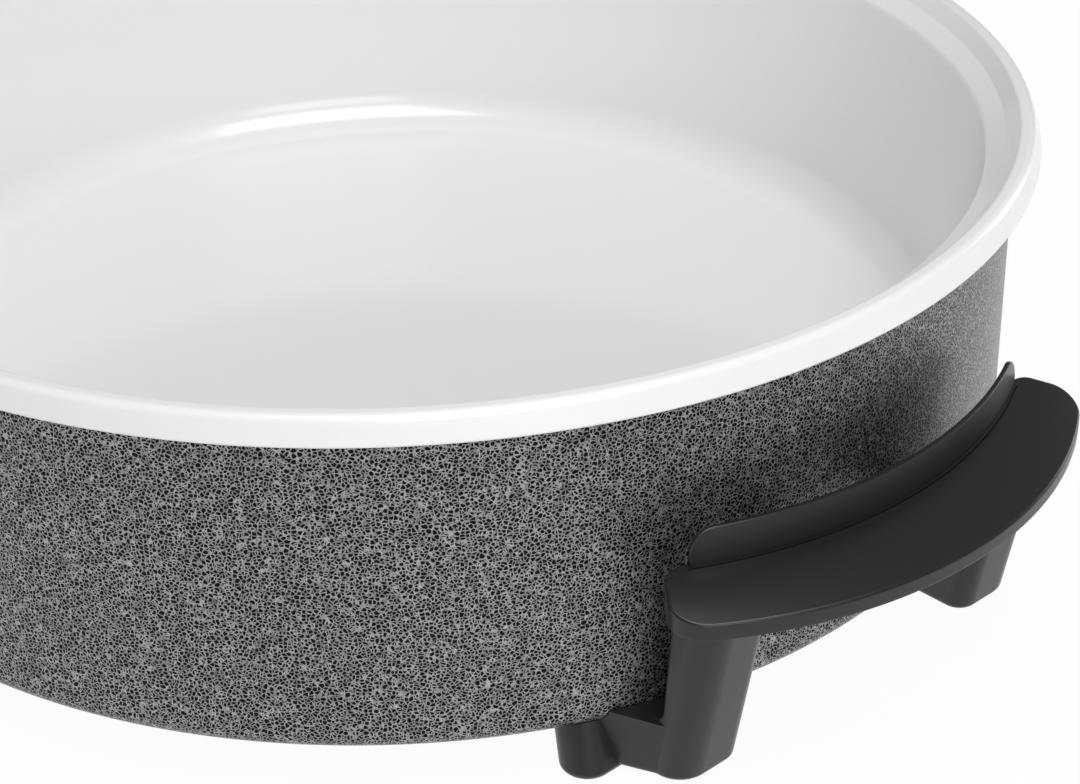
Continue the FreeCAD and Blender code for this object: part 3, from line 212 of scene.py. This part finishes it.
def math2(group, operation, a, b=None, clamp=False):
    node = group.nodes.new("ShaderNodeMath")
    node.operation = operation
    node.use_clamp = clamp
    for socket, value in zip(node.inputs, (a, b)):
        if value is None:
            continue
        if isinstance(value, (int, float)):
            socket.default_value = value
        else:
            group.links.new(value, socket)
    return node.outputs[0]


def noise(group, coordinates, scale, detail=2.0):
    node = group.nodes.new("ShaderNodeTexNoise")
    node.inputs["Detail"].default_value = detail
    group.links.new(coordinates, node.inputs["Vector"])
    if isinstance(scale, (int, float)):
        node.inputs["Scale"].default_value = scale
    else:
        group.links.new(scale, node.inputs["Scale"])
    return node.outputs[0]


def mapRange(group, value, low, high, toLow, toHigh):
    node = group.nodes.new("ShaderNodeMapRange")
    node.interpolation_type = "SMOOTHSTEP"
    group.links.new(value, node.inputs[0])
    for socket, amount in zip(node.inputs[1:5], (low, high, toLow, toHigh)):
        if isinstance(amount, (int, float)):
            socket.default_value = amount
        else:
            group.links.new(amount, socket)
    return node.outputs[0]


def mixColour(group, factor, a, b):
    node = group.nodes.new("ShaderNodeMix")
    node.data_type = "RGBA"
    group.links.new(factor, node.inputs[0])
    for socket, value in ((node.inputs[6], a), (node.inputs[7], b)):
        if isinstance(value, tuple):
            socket.default_value = (*value, 1)
        else:
            group.links.new(value, socket)
    return node.outputs[2]


def makeGrainGroup():
    # small changes of tone and gloss, with a fine relief
    group, tree, source, sink = newGroup(
        "surface grain",
        [("Colour", "Color", (0.5, 0.5, 0.5, 1)), ("Roughness", "Float", 0.4), ("Scale", "Float", 900.0),
         ("Tone", "Float", 0.1), ("Gloss", "Float", 0.1)],
        [("Colour", "Color"), ("Roughness", "Float"), ("Height", "Float")])
    spot = tree.new("ShaderNodeTexCoord").outputs["Object"]
    fine = noise(group, spot, source.outputs["Scale"], 2.0)
    broad = noise(group, spot, 14.0, 3.0)
    swing = math2(group, "SUBTRACT", broad, 0.5)
    tone = math2(group, "ADD", math2(group, "MULTIPLY", swing, source.outputs["Tone"]), 1.0)
    scaled = tree.new("ShaderNodeVectorMath")
    scaled.operation = "SCALE"
    group.links.new(source.outputs["Colour"], scaled.inputs[0])
    group.links.new(tone, scaled.inputs["Scale"])
    group.links.new(scaled.outputs[0], sink.inputs["Colour"])
    gloss = math2(group, "MULTIPLY", swing, source.outputs["Gloss"])
    group.links.new(math2(group, "ADD", source.outputs["Roughness"], gloss, True), sink.inputs["Roughness"])
    group.links.new(fine, sink.inputs["Height"])
    return group


def makeHammerGroup():
    # pale veins wandering over a dark ground, as hammer paint dries
    group, tree, source, sink = newGroup(
        "hammer finish",
        [("Vein", "Color", (0.4, 0.4, 0.4, 1)), ("Ground", "Color", (0.02, 0.02, 0.02, 1)),
         ("Scale", "Float", 700.0), ("Width", "Float", 0.1)],
        [("Colour", "Color"), ("Roughness", "Float"), ("Height", "Float")])
    spot = tree.new("ShaderNodeTexCoord").outputs["Object"]
    drift = tree.new("ShaderNodeTexNoise")
    drift.inputs["Scale"].default_value = 600.0
    group.links.new(spot, drift.inputs["Vector"])
    warp = tree.new("ShaderNodeVectorMath")
    warp.operation = "MULTIPLY_ADD"
    warp.inputs[1].default_value = (0.0012, 0.0012, 0.0012)
    group.links.new(drift.outputs["Color"], warp.inputs[0])
    group.links.new(spot, warp.inputs[2])
    cells = tree.new("ShaderNodeTexVoronoi")
    cells.feature = "DISTANCE_TO_EDGE"
    group.links.new(warp.outputs[0], cells.inputs["Vector"])
    group.links.new(source.outputs["Scale"], cells.inputs["Scale"])
    vein = mapRange(group, cells.outputs["Distance"], 0.02, source.outputs["Width"], 1.0, 0.0)
    patch = mapRange(group, noise(group, spot, 420.0, 2.0), 0.3, 0.7, 0.55, 1.0)
    veined = math2(group, "MULTIPLY", vein, patch)
    group.links.new(mixColour(group, veined, source.outputs["Ground"], source.outputs["Vein"]),
                    sink.inputs["Colour"])
    group.links.new(mapRange(group, veined, 0.0, 1.0, 0.30, 0.42), sink.inputs["Roughness"])
    group.links.new(veined, sink.inputs["Height"])
    return group


grainGroup = makeGrainGroup()
hammerGroup = makeHammerGroup()


def newMaterial(name, group, values, shader, bump):
    # values feed the group, shader sets the Principled's own sockets, bump is (strength, distance)
    material = bpy.data.materials.new(name)
    material.use_nodes = True
    tree = material.node_tree
    principled = tree.nodes["Principled BSDF"]
    effect = tree.nodes.new("ShaderNodeGroup")
    effect.node_tree = group
    for label, value in values.items():
        effect.inputs[label].default_value = (*value, 1) if isinstance(value, tuple) else value
    for label, value in shader.items():
        principled.inputs[label].default_value = value
    tree.links.new(effect.outputs["Colour"], principled.inputs["Base Color"])
    tree.links.new(effect.outputs["Roughness"], principled.inputs["Roughness"])
    relief = tree.nodes.new("ShaderNodeBump")
    relief.inputs["Strength"].default_value = bump[0]
    relief.inputs["Distance"].default_value = bump[1]
    tree.links.new(effect.outputs["Height"], relief.inputs["Height"])
    tree.links.new(relief.outputs[0], principled.inputs["Normal"])
    material.diffuse_color = (*values.get("Colour", (0.3, 0.3, 0.3)), 1)
    return material


def grained(name, colour, roughness, metallic=0.0, scale=900.0, tone=0.08, gloss=0.08, bump=(0.04, 0.0001),
            **more):
    shader = {"Metallic": metallic}
    shader.update(more)
    values = {"Colour": colour, "Roughness": roughness, "Scale": scale, "Tone": tone, "Gloss": gloss}
    return newMaterial(name, grainGroup, values, shader, bump)


finishes = {
    "bowlWhite": grained("white ceramic coating", (0.80, 0.80, 0.805), 0.30, tone=0.01, gloss=0.04,
                         bump=(0.01, 0.00005), **{"Coat Weight": 0.6, "Coat Roughness": 0.10}),
    "handleBlack": grained("black handle plastic", (0.011, 0.011, 0.012), 0.33, tone=0.15, gloss=0.06,
                           scale=1800.0, bump=(0.10, 0.00008)),
    "controlBlack": grained("black control plastic", (0.024, 0.024, 0.025), 0.42, tone=0.15, gloss=0.08,
                            scale=1500.0, bump=(0.12, 0.00008)),
    "dialBlack": grained("polished dial plastic", (0.016, 0.016, 0.017), 0.22, tone=0.1, gloss=0.05),
    "rubber": grained("black rubber", (0.025, 0.025, 0.025), 0.75, tone=0.2, gloss=0.1, bump=(0.2, 0.0001)),
    "seal": grained("grey silicone", (0.10, 0.10, 0.10), 0.6, tone=0.1),
    "steel": grained("zinc plated steel", (0.55, 0.56, 0.58), 0.34, 1.0, gloss=0.16, tone=0.12),
    "brightSteel": grained("nickel plated steel", (0.68, 0.67, 0.65), 0.16, 1.0, gloss=0.08),
    "cast": grained("cast aluminium", (0.66, 0.67, 0.68), 0.48, 1.0, scale=500.0, gloss=0.15, tone=0.1,
                    bump=(0.25, 0.0002)),
    "heater": grained("tinted heater sheath", (0.25, 0.22, 0.20), 0.42, 1.0, gloss=0.2, tone=0.3),
    "brass": grained("plain brass", (0.70, 0.50, 0.22), 0.28, 1.0, gloss=0.12, tone=0.1),
    "ceramic": grained("unglazed ceramic", (0.76, 0.73, 0.65), 0.72, gloss=0.1, bump=(0.2, 0.0001)),
    "laminate": grained("brown phenolic", (0.18, 0.075, 0.035), 0.42, tone=0.3, gloss=0.1),
    "lens": grained("red lens", (0.62, 0.03, 0.015), 0.12, tone=0.02, gloss=0.03,
                    **{"Transmission Weight": 0.55, "IOR": 1.49}),
    "lampGlass": grained("lamp glass", (0.95, 0.80, 0.70), 0.08, tone=0.02, gloss=0.02,
                         **{"Transmission Weight": 0.8, "IOR": 1.5}),
}
finishes["hammered"] = newMaterial(
    "grey hammer finish", hammerGroup,
    {"Vein": (0.46, 0.46, 0.46), "Ground": (0.005, 0.005, 0.005), "Scale": 900.0, "Width": 0.17},
    {"Metallic": 0.75, "Coat Weight": 0.04, "Coat Roughness": 0.2, "Specular IOR Level": 0.15},
    (0.5, 0.00015))
print("materials ready:", len(finishes))


# Bowl

bowl = {
    "rimRadius": 200.0, "rimLevel": 99.2, "rimTop": 107.2, "rimLean": 2.6, "rimFlat": 4.2,
    "ledgeOuter": 189.4, "ledgeInner": 183.4, "ledgeLevel": 102.2, "ledgeLow": 98.2,
    "ledgeBend": 2.2, "ledgeCorner": 1.8, "rimBend": 1.4, "rimCorner": 2.6, "edgeRound": 0.7,
    "backRound": 0.5, "insideRim": 0.8, "insideLedge": 1.2, "ledgeThin": 0.8,
    "floorRadius": 171.0, "floorLevel": 21.2, "floorFillet": 14.0, "sheet": 2.0, "turns": 384,
}


def makeBowl(b):
    topOuter = b["rimRadius"] - b["rimLean"]
    topInner = topOuter - b["rimFlat"]
    sheet = b["sheet"]
    below = sheet * b["ledgeThin"]
    path = roundedPath([
        (0, b["floorLevel"]),
        (b["floorRadius"], b["floorLevel"], b["floorFillet"]),
        (b["ledgeInner"], b["ledgeLow"], b["ledgeBend"]),
        (b["ledgeOuter"], b["ledgeLevel"], b["ledgeCorner"]),
        (topInner, b["rimTop"], b["rimBend"]),
        (topOuter, b["rimTop"], b["rimCorner"]),
        (b["rimRadius"], b["rimLevel"], b["edgeRound"]),
        (b["rimRadius"] - sheet, b["rimLevel"], b["backRound"]),
        (topOuter - sheet, b["rimTop"] - sheet, b["insideRim"]),
        (topInner + sheet, b["rimTop"] - sheet, b["insideRim"]),
        (b["ledgeOuter"] + sheet, b["ledgeLevel"] - below, b["insideLedge"]),
        (b["ledgeInner"] + sheet, b["ledgeLow"] - below, b["ledgeBend"]),
        (b["floorRadius"] + sheet, b["floorLevel"] - sheet, b["floorFillet"] + sheet),
        (0, b["floorLevel"] - sheet)], 12)
    bm = bmesh.new()
    lathe(bm, [tuple(p) for p in path], b["turns"])
    return smooth(newObject("coated bowl", bm), 40)


place(makeBowl(bowl), "pan", "bowl_white", finishes["bowlWhite"], "inner_pan").name = "coated_bowl"
print("bowl ready")


# Casing

casing = {
    "radius": 192.0, "top": 97.0, "sheet": 1.0, "corner": 6.0, "beadRadius": 150.0, "beadWidth": 8.0,
    "beadDepth": 1.2, "windowWide": 46.0, "windowTall": 12.0, "windowLevel": 11.7, "windowRound": 3.0,
    "beadEdge": 3.0, "beadRound": 2.0, "topRound": 0.3,
    "boltSide": 24.0, "boltLevel": 39.0, "boltHole": 2.3, "screwCircle": 62.0, "screwTurn": 60.0,
    "sinkRadius": 4.45, "turns": 384,
}


def windowTool(c):
    corners = []
    wide, tall = c["windowWide"] / 2, c["windowTall"] / 2
    for y, z in ((-1, -1), (1, -1), (1, 1), (-1, 1)):
        corners.append((y * wide, c["windowLevel"] + z * tall, c["windowRound"]))
    outline = roundedPath(corners, 6)
    bm = bmesh.new()
    loft(bm, [[(x, p.x, p.y) for p in outline] for x in (-c["radius"] - 5, -c["radius"] + 12)])
    return newObject("window tool", bm)


def sinkTool(c, x, y):
    # the cone that a countersunk casing screw sits in
    bm = bmesh.new()
    rings = []
    for z in (-2.0, 3.0):
        radius = c["sinkRadius"] - z
        rings.append([(x + radius * math.cos(t), y + radius * math.sin(t), z)
                      for t in (2 * math.pi * k / 48 for k in range(48))])
    loft(bm, rings)
    return newObject("sink tool", bm)


def makeCasing(c):
    r, s = c["radius"], c["sheet"]
    a, w, d = c["beadRadius"], c["beadWidth"], c["beadDepth"]
    edge, crest, top = c["beadEdge"], c["beadRound"], c["topRound"]
    path = roundedPath([
        (0, 0), (a - w, 0, edge), (a - w / 2, d, crest), (a + w / 2, d, crest), (a + w, 0, edge),
        (r, 0, c["corner"]), (r, c["top"], top), (r - s, c["top"], top), (r - s, s, c["corner"] - s),
        (a + w, s, edge), (a + w / 2, d + s, crest), (a - w / 2, d + s, crest), (a - w, s, edge), (0, s)], 8)
    bm = bmesh.new()
    lathe(bm, [tuple(p) for p in path], c["turns"])
    shell = newObject("outer_casing_shell", bm)
    tools = [windowTool(c)]
    for side in (-1, 1):
        for x in (-r, r):
            tools.append(rodAlongX(c["boltHole"], x - 8, x + 8, side * c["boltSide"], c["boltLevel"], 32))
    for k in range(3):
        angle = math.radians(c["screwTurn"] + 120 * k)
        tools.append(sinkTool(c, c["screwCircle"] * math.cos(angle), c["screwCircle"] * math.sin(angle)))
    return smooth(combine(shell, tools, "DIFFERENCE"), 40)


place(makeCasing(casing), "pan", "casing_hammered", finishes["hammered"], "outer_casing")
print("casing ready")


# Handles

handle = {
    "centre": 104.0, "inner": 108.4, "outer": 132.0, "topInner": 55.6, "topOuter": 50.2, "under": 44.8,
    "sweep": 79.4, "tip": 10.5, "heel": 7.0, "edge": 0.75, "lipDeep": 0.9, "lipTall": 1.3,
    "backCentre": 32.5, "crown": 0.7,
    "guardSweep": 72.4, "guardSheet": 2.6, "guardTop": 66.2, "guardRound": 6.5, "guardTaper": 1.0,
    "grooveWide": 0.6, "grooveDeep": 0.7,
    "skirtUnder": 33.2, "skirtSweep": 57.0, "archRound": 6.0,
    "legNear": 47.0, "legFar": 71.2, "legBack": 190.2, "legFront": 209.0, "legToe": 197.2,
    "armFlare": 8.0, "legDraft": 3.4, "screwHole": 2.3,
    "legRound": 9.0, "legEdge": 6.0, "armEnd": 169.6, "notch": 5.2, "notchRound": 5.0, "foot": -13.3,
    "footRound": 2.2, "lobePlace": 170.4, "lobeSide": 79.6, "lobeRadius": 7.8, "lobeEdge": 2.6,
    "lobeFoot": -14.7, "lobeLean": 5.5,
    "bossRadius": 5.4, "bossSide": 24.0, "bossLevel": 39.0, "seat": 213.0,
    "padInset": 10.5, "padRadius": 6.6, "padTop": -11.8,
}


def polar(h, radius, angle, z):
    # the outer edge is an arc about the centre; the inner edge is flatter, about a point behind it
    behind = h["backCentre"]
    flat = (h["inner"] + behind) ** 2 - (behind * math.sin(angle)) ** 2
    back = math.sqrt(flat) - behind * math.cos(angle)
    if radius > h["inner"]:
        share = (h["outer"] - radius) / (h["outer"] - h["inner"])
    else:
        share = 1.0
    radius += (back - h["inner"]) * share
    return (h["centre"] + radius * math.cos(angle), radius * math.sin(angle), z)


def endStations(half, low, high, lowRound, highRound, middle, steps=10):
    # half angle of a band with two rounded corners at each end; gives (angle, low, high)
    reach = max(lowRound, highRound)
    stations = []
    for k in range(steps + 1):
        away = reach * (1 - math.cos(math.pi / 2 * k / steps))
        lowDip = lowRound - math.sqrt(max(0, lowRound ** 2 - max(0, lowRound - away) ** 2))
        highDip = highRound - math.sqrt(max(0, highRound ** 2 - max(0, highRound - away) ** 2))
        stations.append((-half + away / middle, low + lowDip, high - highDip))
    return stations


def bandStations(half, low, high, lowRound, highRound, middle, steps=10, spans=72):
    start = endStations(half, low, high, lowRound, highRound, middle, steps)
    first = start[-1][0]
    body = [(first + (-2 * first) * k / spans, low, high) for k in range(1, spans)]
    finish = [(-a, b, c) for a, b, c in reversed(start)]
    return start + body + finish


def ringOf(stations):
    lows = [Vector((a, b)) for a, b, c in stations]
    highs = [Vector((a, c)) for a, b, c in stations]
    return lows + highs[::-1]


def insetBand(ring, distance, middle):
    # insets an (angle, length) outline, with the angle counted as a length at the middle radius
    flat = [Vector((p.x * middle, p.y)) for p in ring]
    return [Vector((p.x / middle, p.y)) for p in insetPath(flat, distance)]


def makeGrip(h):
    middle = (h["inner"] + h["outer"]) / 2
    back = h["inner"] - h["guardSheet"]
    half = math.radians(h["sweep"] / 2)
    ring = ringOf(bandStations(half, back, h["outer"], h["heel"], h["tip"], middle))

    def top(radius):
        share = (max(radius, h["inner"]) - h["inner"]) / (h["outer"] - h["inner"])
        crown = h["crown"] * math.sin(math.pi * min(1, max(0, share)))
        return h["topInner"] + (h["topOuter"] - h["topInner"]) * share + crown

    lip, tall, edge = h["lipDeep"], h["lipTall"], h["edge"]
    levels = [(lip + 0.5, 0.0), (lip + 0.15, 0.12), (lip, 0.4), (lip, tall - 0.25), (lip - 0.15, tall - 0.1),
              (0.22, tall), (0.06, tall + 0.08), (0.0, tall + 0.3)]
    rings = []
    for inset, rise in levels:
        moved = insetBand(ring, inset, middle)
        rings.append([polar(h, p.y, p.x, h["under"] + rise) for p in moved])
    for k in range(9):
        turn = math.pi / 2 * k / 8
        moved = insetBand(ring, edge * (1 - math.cos(turn)), middle)
        rings.append([polar(h, p.y, p.x, top(p.y) - edge * (1 - math.sin(turn))) for p in moved])
    bm = bmesh.new()
    rows = [[bm.verts.new(p) for p in line] for line in rings]
    joinRows(bm, rows)
    count = len(ring)
    pairs = count // 2
    across = 8
    flat = insetBand(ring, edge, middle)
    under = insetBand(ring, levels[0][0], middle)
    for row, source, level in ((rows[-1], flat, None), (rows[0], under, h["under"])):
        columns = []
        for i in range(pairs):
            a, b = source[i], source[count - 1 - i]
            column = [row[i]]
            for k in range(1, across if 0 < i < pairs - 1 else 0):
                p = a.lerp(b, k / across)
                z = top(p.y) if level is None else level
                column.append(bm.verts.new(polar(h, p.y, p.x, z)))
            columns.append(column + [row[count - 1 - i]])
        bm.faces.new(columns[0] + columns[1][::-1])
        bm.faces.new(columns[-1] + columns[-2][::-1])
        for left, right in zip(columns[1:-1], columns[2:-1]):
            for k in range(across):
                bm.faces.new((left[k], right[k], right[k + 1], left[k + 1]))
    return newObject("grip", bm)


def makeUpright(h, stations, taper, edge=0.5):
    # a curved sheet that stands on the grip or hangs below it
    middle = h["inner"]
    ring = ringOf(stations)
    inner, outer = h["inner"] - h["guardSheet"], h["inner"]
    rings = []
    for k in range(6):
        turn = math.pi / 2 * k / 5
        moved = insetBand(ring, edge * (1 - math.sin(turn)), middle)
        rings.append([polar(h, inner + edge * (1 - math.cos(turn)), p.x, p.y) for p in moved])
    for k in range(6):
        turn = math.pi / 2 * k / 5
        moved = insetBand(ring, edge * (1 - math.cos(turn)), middle)
        line = []
        for p in moved:
            lean = taper * min(1, max(0, (p.y - h["topInner"]) / (h["guardTop"] - h["topInner"])))
            line.append(polar(h, outer - lean - edge * (1 - math.sin(turn)), p.x, p.y))
        rings.append(line)
    bm = bmesh.new()
    loft(bm, rings, ladder=True)
    return newObject("upright", bm)


def guardStations(h):
    half = math.radians(h["guardSweep"] / 2)
    return bandStations(half, h["under"] + 2, h["guardTop"], 0.0, h["guardRound"], h["inner"])


def makeGroove(h):
    # the fine line between the guard and the top of the grip
    half = math.radians(h["guardSweep"] / 2 + 0.2)
    low, high, spans = h["topInner"] - h["grooveDeep"], h["topInner"] + 2, 72
    stations = [(-half + 2 * half * k / spans, low, high) for k in range(spans + 1)]
    rings = []
    for radius in (h["inner"], h["inner"] + h["grooveWide"]):
        rings.append([polar(h, radius, p.x, p.y) for p in ringOf(stations)])
    bm = bmesh.new()
    loft(bm, rings, ladder=True)
    return newObject("groove", bm)


def skirtStations(h):
    half = math.radians(h["skirtSweep"] / 2)
    stations = []
    for k in range(97):
        angle = -half + 2 * half * k / 96
        side = abs(h["inner"] * math.sin(angle))
        over = min(h["archRound"], max(0, side - (h["legNear"] - h["archRound"])))
        drop = h["archRound"] - math.sqrt(h["archRound"] ** 2 - over ** 2)
        stations.append((angle, h["skirtUnder"] - drop, h["under"] + 2))
    return stations


def makeLeg(h, side):
    # one loft from the foot to the grip: arm and foot below the notch, the leg alone above it
    def front(z):
        share = (z - h["foot"]) / (h["under"] - h["foot"])
        return h["legToe"] + (h["legFront"] - h["legToe"]) * share

    def ring(z, back, inset=0.0):
        flare = h["armFlare"] if back < h["legBack"] - h["notchRound"] - 0.1 else 0.0
        bend = min(max(back, h["legBack"]) + 1.4, front(z) - h["legRound"] - 0.3)
        corners = [(back, h["legNear"], 1.2), (front(z), h["legNear"], h["legEdge"]),
                   (front(z), h["legFar"], h["legRound"]), (bend, h["legFar"]),
                   (back, h["legFar"] + flare, 1.2)]
        plan = insetPath(roundedPath(corners, 10), inset)
        return [(p.x, side * p.y, z) for p in plan]

    rings = []
    edge = h["footRound"]
    for k in range(5, -1, -1):
        turn = math.pi / 2 * k / 5
        z = h["foot"] + edge * (1 - math.sin(turn))
        rings.append(ring(z, h["armEnd"], edge * (1 - math.cos(turn))))
    top = h["notch"]
    for k in range(1, 5):
        turn = math.pi / 2 * k / 4
        rings.append(ring(top - 1.0 + math.sin(turn), h["armEnd"] + 1.0 * (1 - math.cos(turn))))
    reach = h["notchRound"]
    for k in range(9):
        turn = math.pi / 2 * k / 8
        back = h["legBack"] - reach + reach * math.sin(turn)
        rings.append(ring(top + 0.04 + reach * (1 - math.cos(turn)), back))
    for k in range(1, 9):
        z = top + reach + (h["under"] + 1.0 - top - reach) * k / 8
        rings.append(ring(z, h["legBack"] + h["legDraft"] * k / 8))
    bm = bmesh.new()
    loft(bm, rings)
    return newObject("leg", bm)


def makeLobe(h, side):
    r, x, y = h["lobeRadius"], h["lobePlace"], h["lobeSide"]
    plan = roundedPath([(x - r, h["legFar"] - 3), (x + r, h["legFar"] - 3), (x + r, y + r, r - 0.01),
                        (x - r, y + r, r - 0.01)], 20)
    rings = []
    edge = h["lobeEdge"]
    for k in range(9):
        turn = math.pi / 2 * k / 8
        moved = insetPath(plan, edge * (1 - math.sin(turn)))
        rings.append([(p.x, side * p.y, h["lobeFoot"] + edge * (1 - math.cos(turn))) for p in moved])
    away = Vector((x, y)).normalized() * h["lobeLean"]
    rings.append([(p.x - away.x, side * (p.y - away.y), 2.0) for p in plan])
    bm = bmesh.new()
    loft(bm, rings)
    return newObject("lobe", bm)


def makeSaddle(h, c):
    # the casing's own form with a little clearance, cut out of the handle
    reach = c["radius"] + 0.3
    path = roundedPath([(0, 0), (reach, 0, c["corner"]), (reach, 80), (0, 80)], 10)
    bm = bmesh.new()
    lathe(bm, [tuple(p) for p in path], c["turns"])
    return newObject("saddle", bm)


def makeHandle(h, c):
    body = makeGrip(h)
    parts = [makeUpright(h, guardStations(h), h["guardTaper"]), makeUpright(h, skirtStations(h), 0.0, 0.4)]
    for side in (-1, 1):
        parts.append(makeLeg(h, side))
        parts.append(makeLobe(h, side))
        parts.append(rodAlongX(h["bossRadius"], c["radius"] - 8, h["seat"], side * h["bossSide"],
                               h["bossLevel"]))
    combine(body, parts, "UNION")
    cuts = [makeSaddle(h, c), makeGroove(h)]
    for side in (-1, 1):
        cuts.append(rodAlongX(h["screwHole"], c["radius"] - 12, h["seat"] + 6, side * h["bossSide"],
                              h["bossLevel"], 32))
        cuts.append(rodAlongZ(h["padRadius"], h["legToe"] - h["padInset"],
                              side * (h["legNear"] + h["legFar"]) / 2, h["foot"] - 3, h["padTop"]))
    combine(body, cuts, "DIFFERENCE")
    return smooth(body, 30)


plainHandle = makeHandle(handle, casing)
plainHandle.name = "plain_handle_moulding"
inletHandle = plainHandle.copy()
inletHandle.data = plainHandle.data.copy()
inletHandle.data.transform(Matrix.Rotation(math.pi, 4, "Z"))
inletHandle.name = "inlet_handle_moulding"
scene.collection.objects.link(inletHandle)
place(plainHandle, "pan", "handle_black", finishes["handleBlack"], "plain_handle")
place(inletHandle, "pan", "handle_black", finishes["handleBlack"], "inlet_handle")
print("handles ready:", len(plainHandle.data.polygons), "faces each")


# Nodes that are shown as the CAD made them

nodeFinish = {
    "rim_gasket": "seal", "foot_pads": "rubber", "plain_bracket": "steel", "inlet_bracket": "steel",
    "handle_screws": "brightSteel", "handle_washers": "steel", "heating_element": "heater",
    "heat_spreader": "cast", "element_clips": "steel", "heat_shield": "cast", "casing_screws": "steel",
    "screw_spacers": "steel", "inlet_block": "ceramic", "contact_pins": "brightSteel",
    "earth_blade": "brass", "probe_guide": "brightSteel", "inlet_shroud": "handleBlack",
    "shroud_screws": "steel", "control_base": "controlBlack", "control_cover": "controlBlack",
    "contact_sleeves": "brass", "sleeve_block": "laminate", "probe_bush": "brass",
    "probe_rod": "brightSteel", "thermostat_frame": "steel", "insulating_stack": "ceramic",
    "bimetal_blade": "brass", "contact_blade": "brass", "lamp_lens": "lens", "neon_lamp": "lampGlass",
    "cord_gland": "rubber", "control_screws": "steel", "temperature_dial": "dialBlack",
    "dial_shaft": "steel", "dial_cam": "laminate",
}
for name, finish in nodeFinish.items():
    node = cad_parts[name]
    node.data.materials.clear()
    node.data.materials.append(finishes[finish])
print("nodes dressed:", len(nodeFinish))


# Studio

studio = {
    "tableLevel": -0.0149, "tableSize": 8.0, "worldLevel": 0.35, "mirrorLevel": 0.2, "shadowShare": 0.04,
    "cameraPlace": (0.590820, -0.485305, 0.437969), "cameraTurn": (60.1456, 0.7669, 46.6891),
    "lens": 89.5931, "sensor": 36.0,
    "lamps": [
        ("overhead softbox", (0.60, -0.22, 1.40), (0.0, 0.0, 0.0), 1.0, 1.0, 15.0),
        ("front softbox", (1.30, -0.60, 0.60), (0.0, 0.0, 0.03), 0.9, 0.6, 5.0),
        ("side strip", (0.35, 1.7, 0.3), (0.18, 0.0, 0.05), 0.4, 0.9, 4.0),
    ],
}


def litWhite(tree, others, share):
    # white to the camera, mirrors and glass; its own shader to all other rays
    paths = tree.nodes.new("ShaderNodeLightPath")
    seen = None
    for label in ("Is Camera Ray", "Is Glossy Ray", "Is Transmission Ray"):
        if seen is None:
            seen = paths.outputs[label]
            continue
        step = tree.nodes.new("ShaderNodeMath")
        step.operation = "MAXIMUM"
        tree.links.new(seen, step.inputs[0])
        tree.links.new(paths.outputs[label], step.inputs[1])
        seen = step.outputs[0]
    factor = tree.nodes.new("ShaderNodeMath")
    factor.operation = "MULTIPLY"
    factor.inputs[1].default_value = share
    tree.links.new(seen, factor.inputs[0])
    mix = tree.nodes.new("ShaderNodeMixShader")
    tree.links.new(factor.outputs[0], mix.inputs[0])
    tree.links.new(others, mix.inputs[1])
    return mix


def makeTable(s):
    bm = bmesh.new()
    bmesh.ops.create_grid(bm, x_segments=1, y_segments=1, size=s["tableSize"] / 2)
    table = newObject("table", bm, 1.0)
    table.location.z = s["tableLevel"]
    material = bpy.data.materials.new("white table")
    material.use_nodes = True
    tree = material.node_tree
    tree.nodes.clear()
    diffuse = tree.nodes.new("ShaderNodeBsdfDiffuse")
    diffuse.inputs["Color"].default_value = (0.85, 0.85, 0.85, 1)
    glow = tree.nodes.new("ShaderNodeEmission")
    glow.inputs["Color"].default_value = (1, 1, 1, 1)
    mix = litWhite(tree, diffuse.outputs[0], 1 - s["shadowShare"])
    tree.links.new(glow.outputs[0], mix.inputs[2])
    output = tree.nodes.new("ShaderNodeOutputMaterial")
    tree.links.new(mix.outputs[0], output.inputs[0])
    table.data.materials.append(material)


def makeWorld(s):
    world = bpy.data.worlds.new("studio")
    scene.world = world
    world.use_nodes = True
    tree = world.node_tree
    tree.nodes.clear()
    soft = tree.nodes.new("ShaderNodeBackground")
    white = tree.nodes.new("ShaderNodeBackground")
    paths = tree.nodes.new("ShaderNodeLightPath")
    level = tree.nodes.new("ShaderNodeMapRange")
    tree.links.new(paths.outputs["Is Glossy Ray"], level.inputs[0])
    level.inputs[3].default_value = s["worldLevel"]
    level.inputs[4].default_value = s["mirrorLevel"]
    tree.links.new(level.outputs[0], soft.inputs["Strength"])
    mix = tree.nodes.new("ShaderNodeMixShader")
    for node in (soft, white):
        node.inputs["Color"].default_value = (1, 1, 1, 1)
    tree.links.new(paths.outputs["Is Camera Ray"], mix.inputs[0])
    tree.links.new(soft.outputs[0], mix.inputs[1])
    tree.links.new(white.outputs[0], mix.inputs[2])
    output = tree.nodes.new("ShaderNodeOutputWorld")
    tree.links.new(mix.outputs[0], output.inputs[0])


def makeLamp(name, spot, target, wide, tall, power):
    lamp = bpy.data.lights.new(name, "AREA")
    lamp.shape = "RECTANGLE"
    lamp.size = wide
    lamp.size_y = tall
    lamp.energy = power
    obj = bpy.data.objects.new(name, lamp)
    obj.location = spot
    obj.rotation_euler = (Vector(target) - Vector(spot)).to_track_quat("-Z", "Y").to_euler()
    scene.collection.objects.link(obj)


makeTable(studio)
makeWorld(studio)
for lampValues in studio["lamps"]:
    makeLamp(*lampValues)

camera = bpy.data.objects.new("camera", bpy.data.cameras.new("camera"))
camera.location = studio["cameraPlace"]
camera.rotation_euler = [math.radians(a) for a in studio["cameraTurn"]]
camera.data.lens = studio["lens"]
camera.data.sensor_width = studio["sensor"]
camera.data.clip_start = 0.01
scene.collection.objects.link(camera)
scene.camera = camera
scene.view_settings.view_transform = "Standard"

print("studio ready")
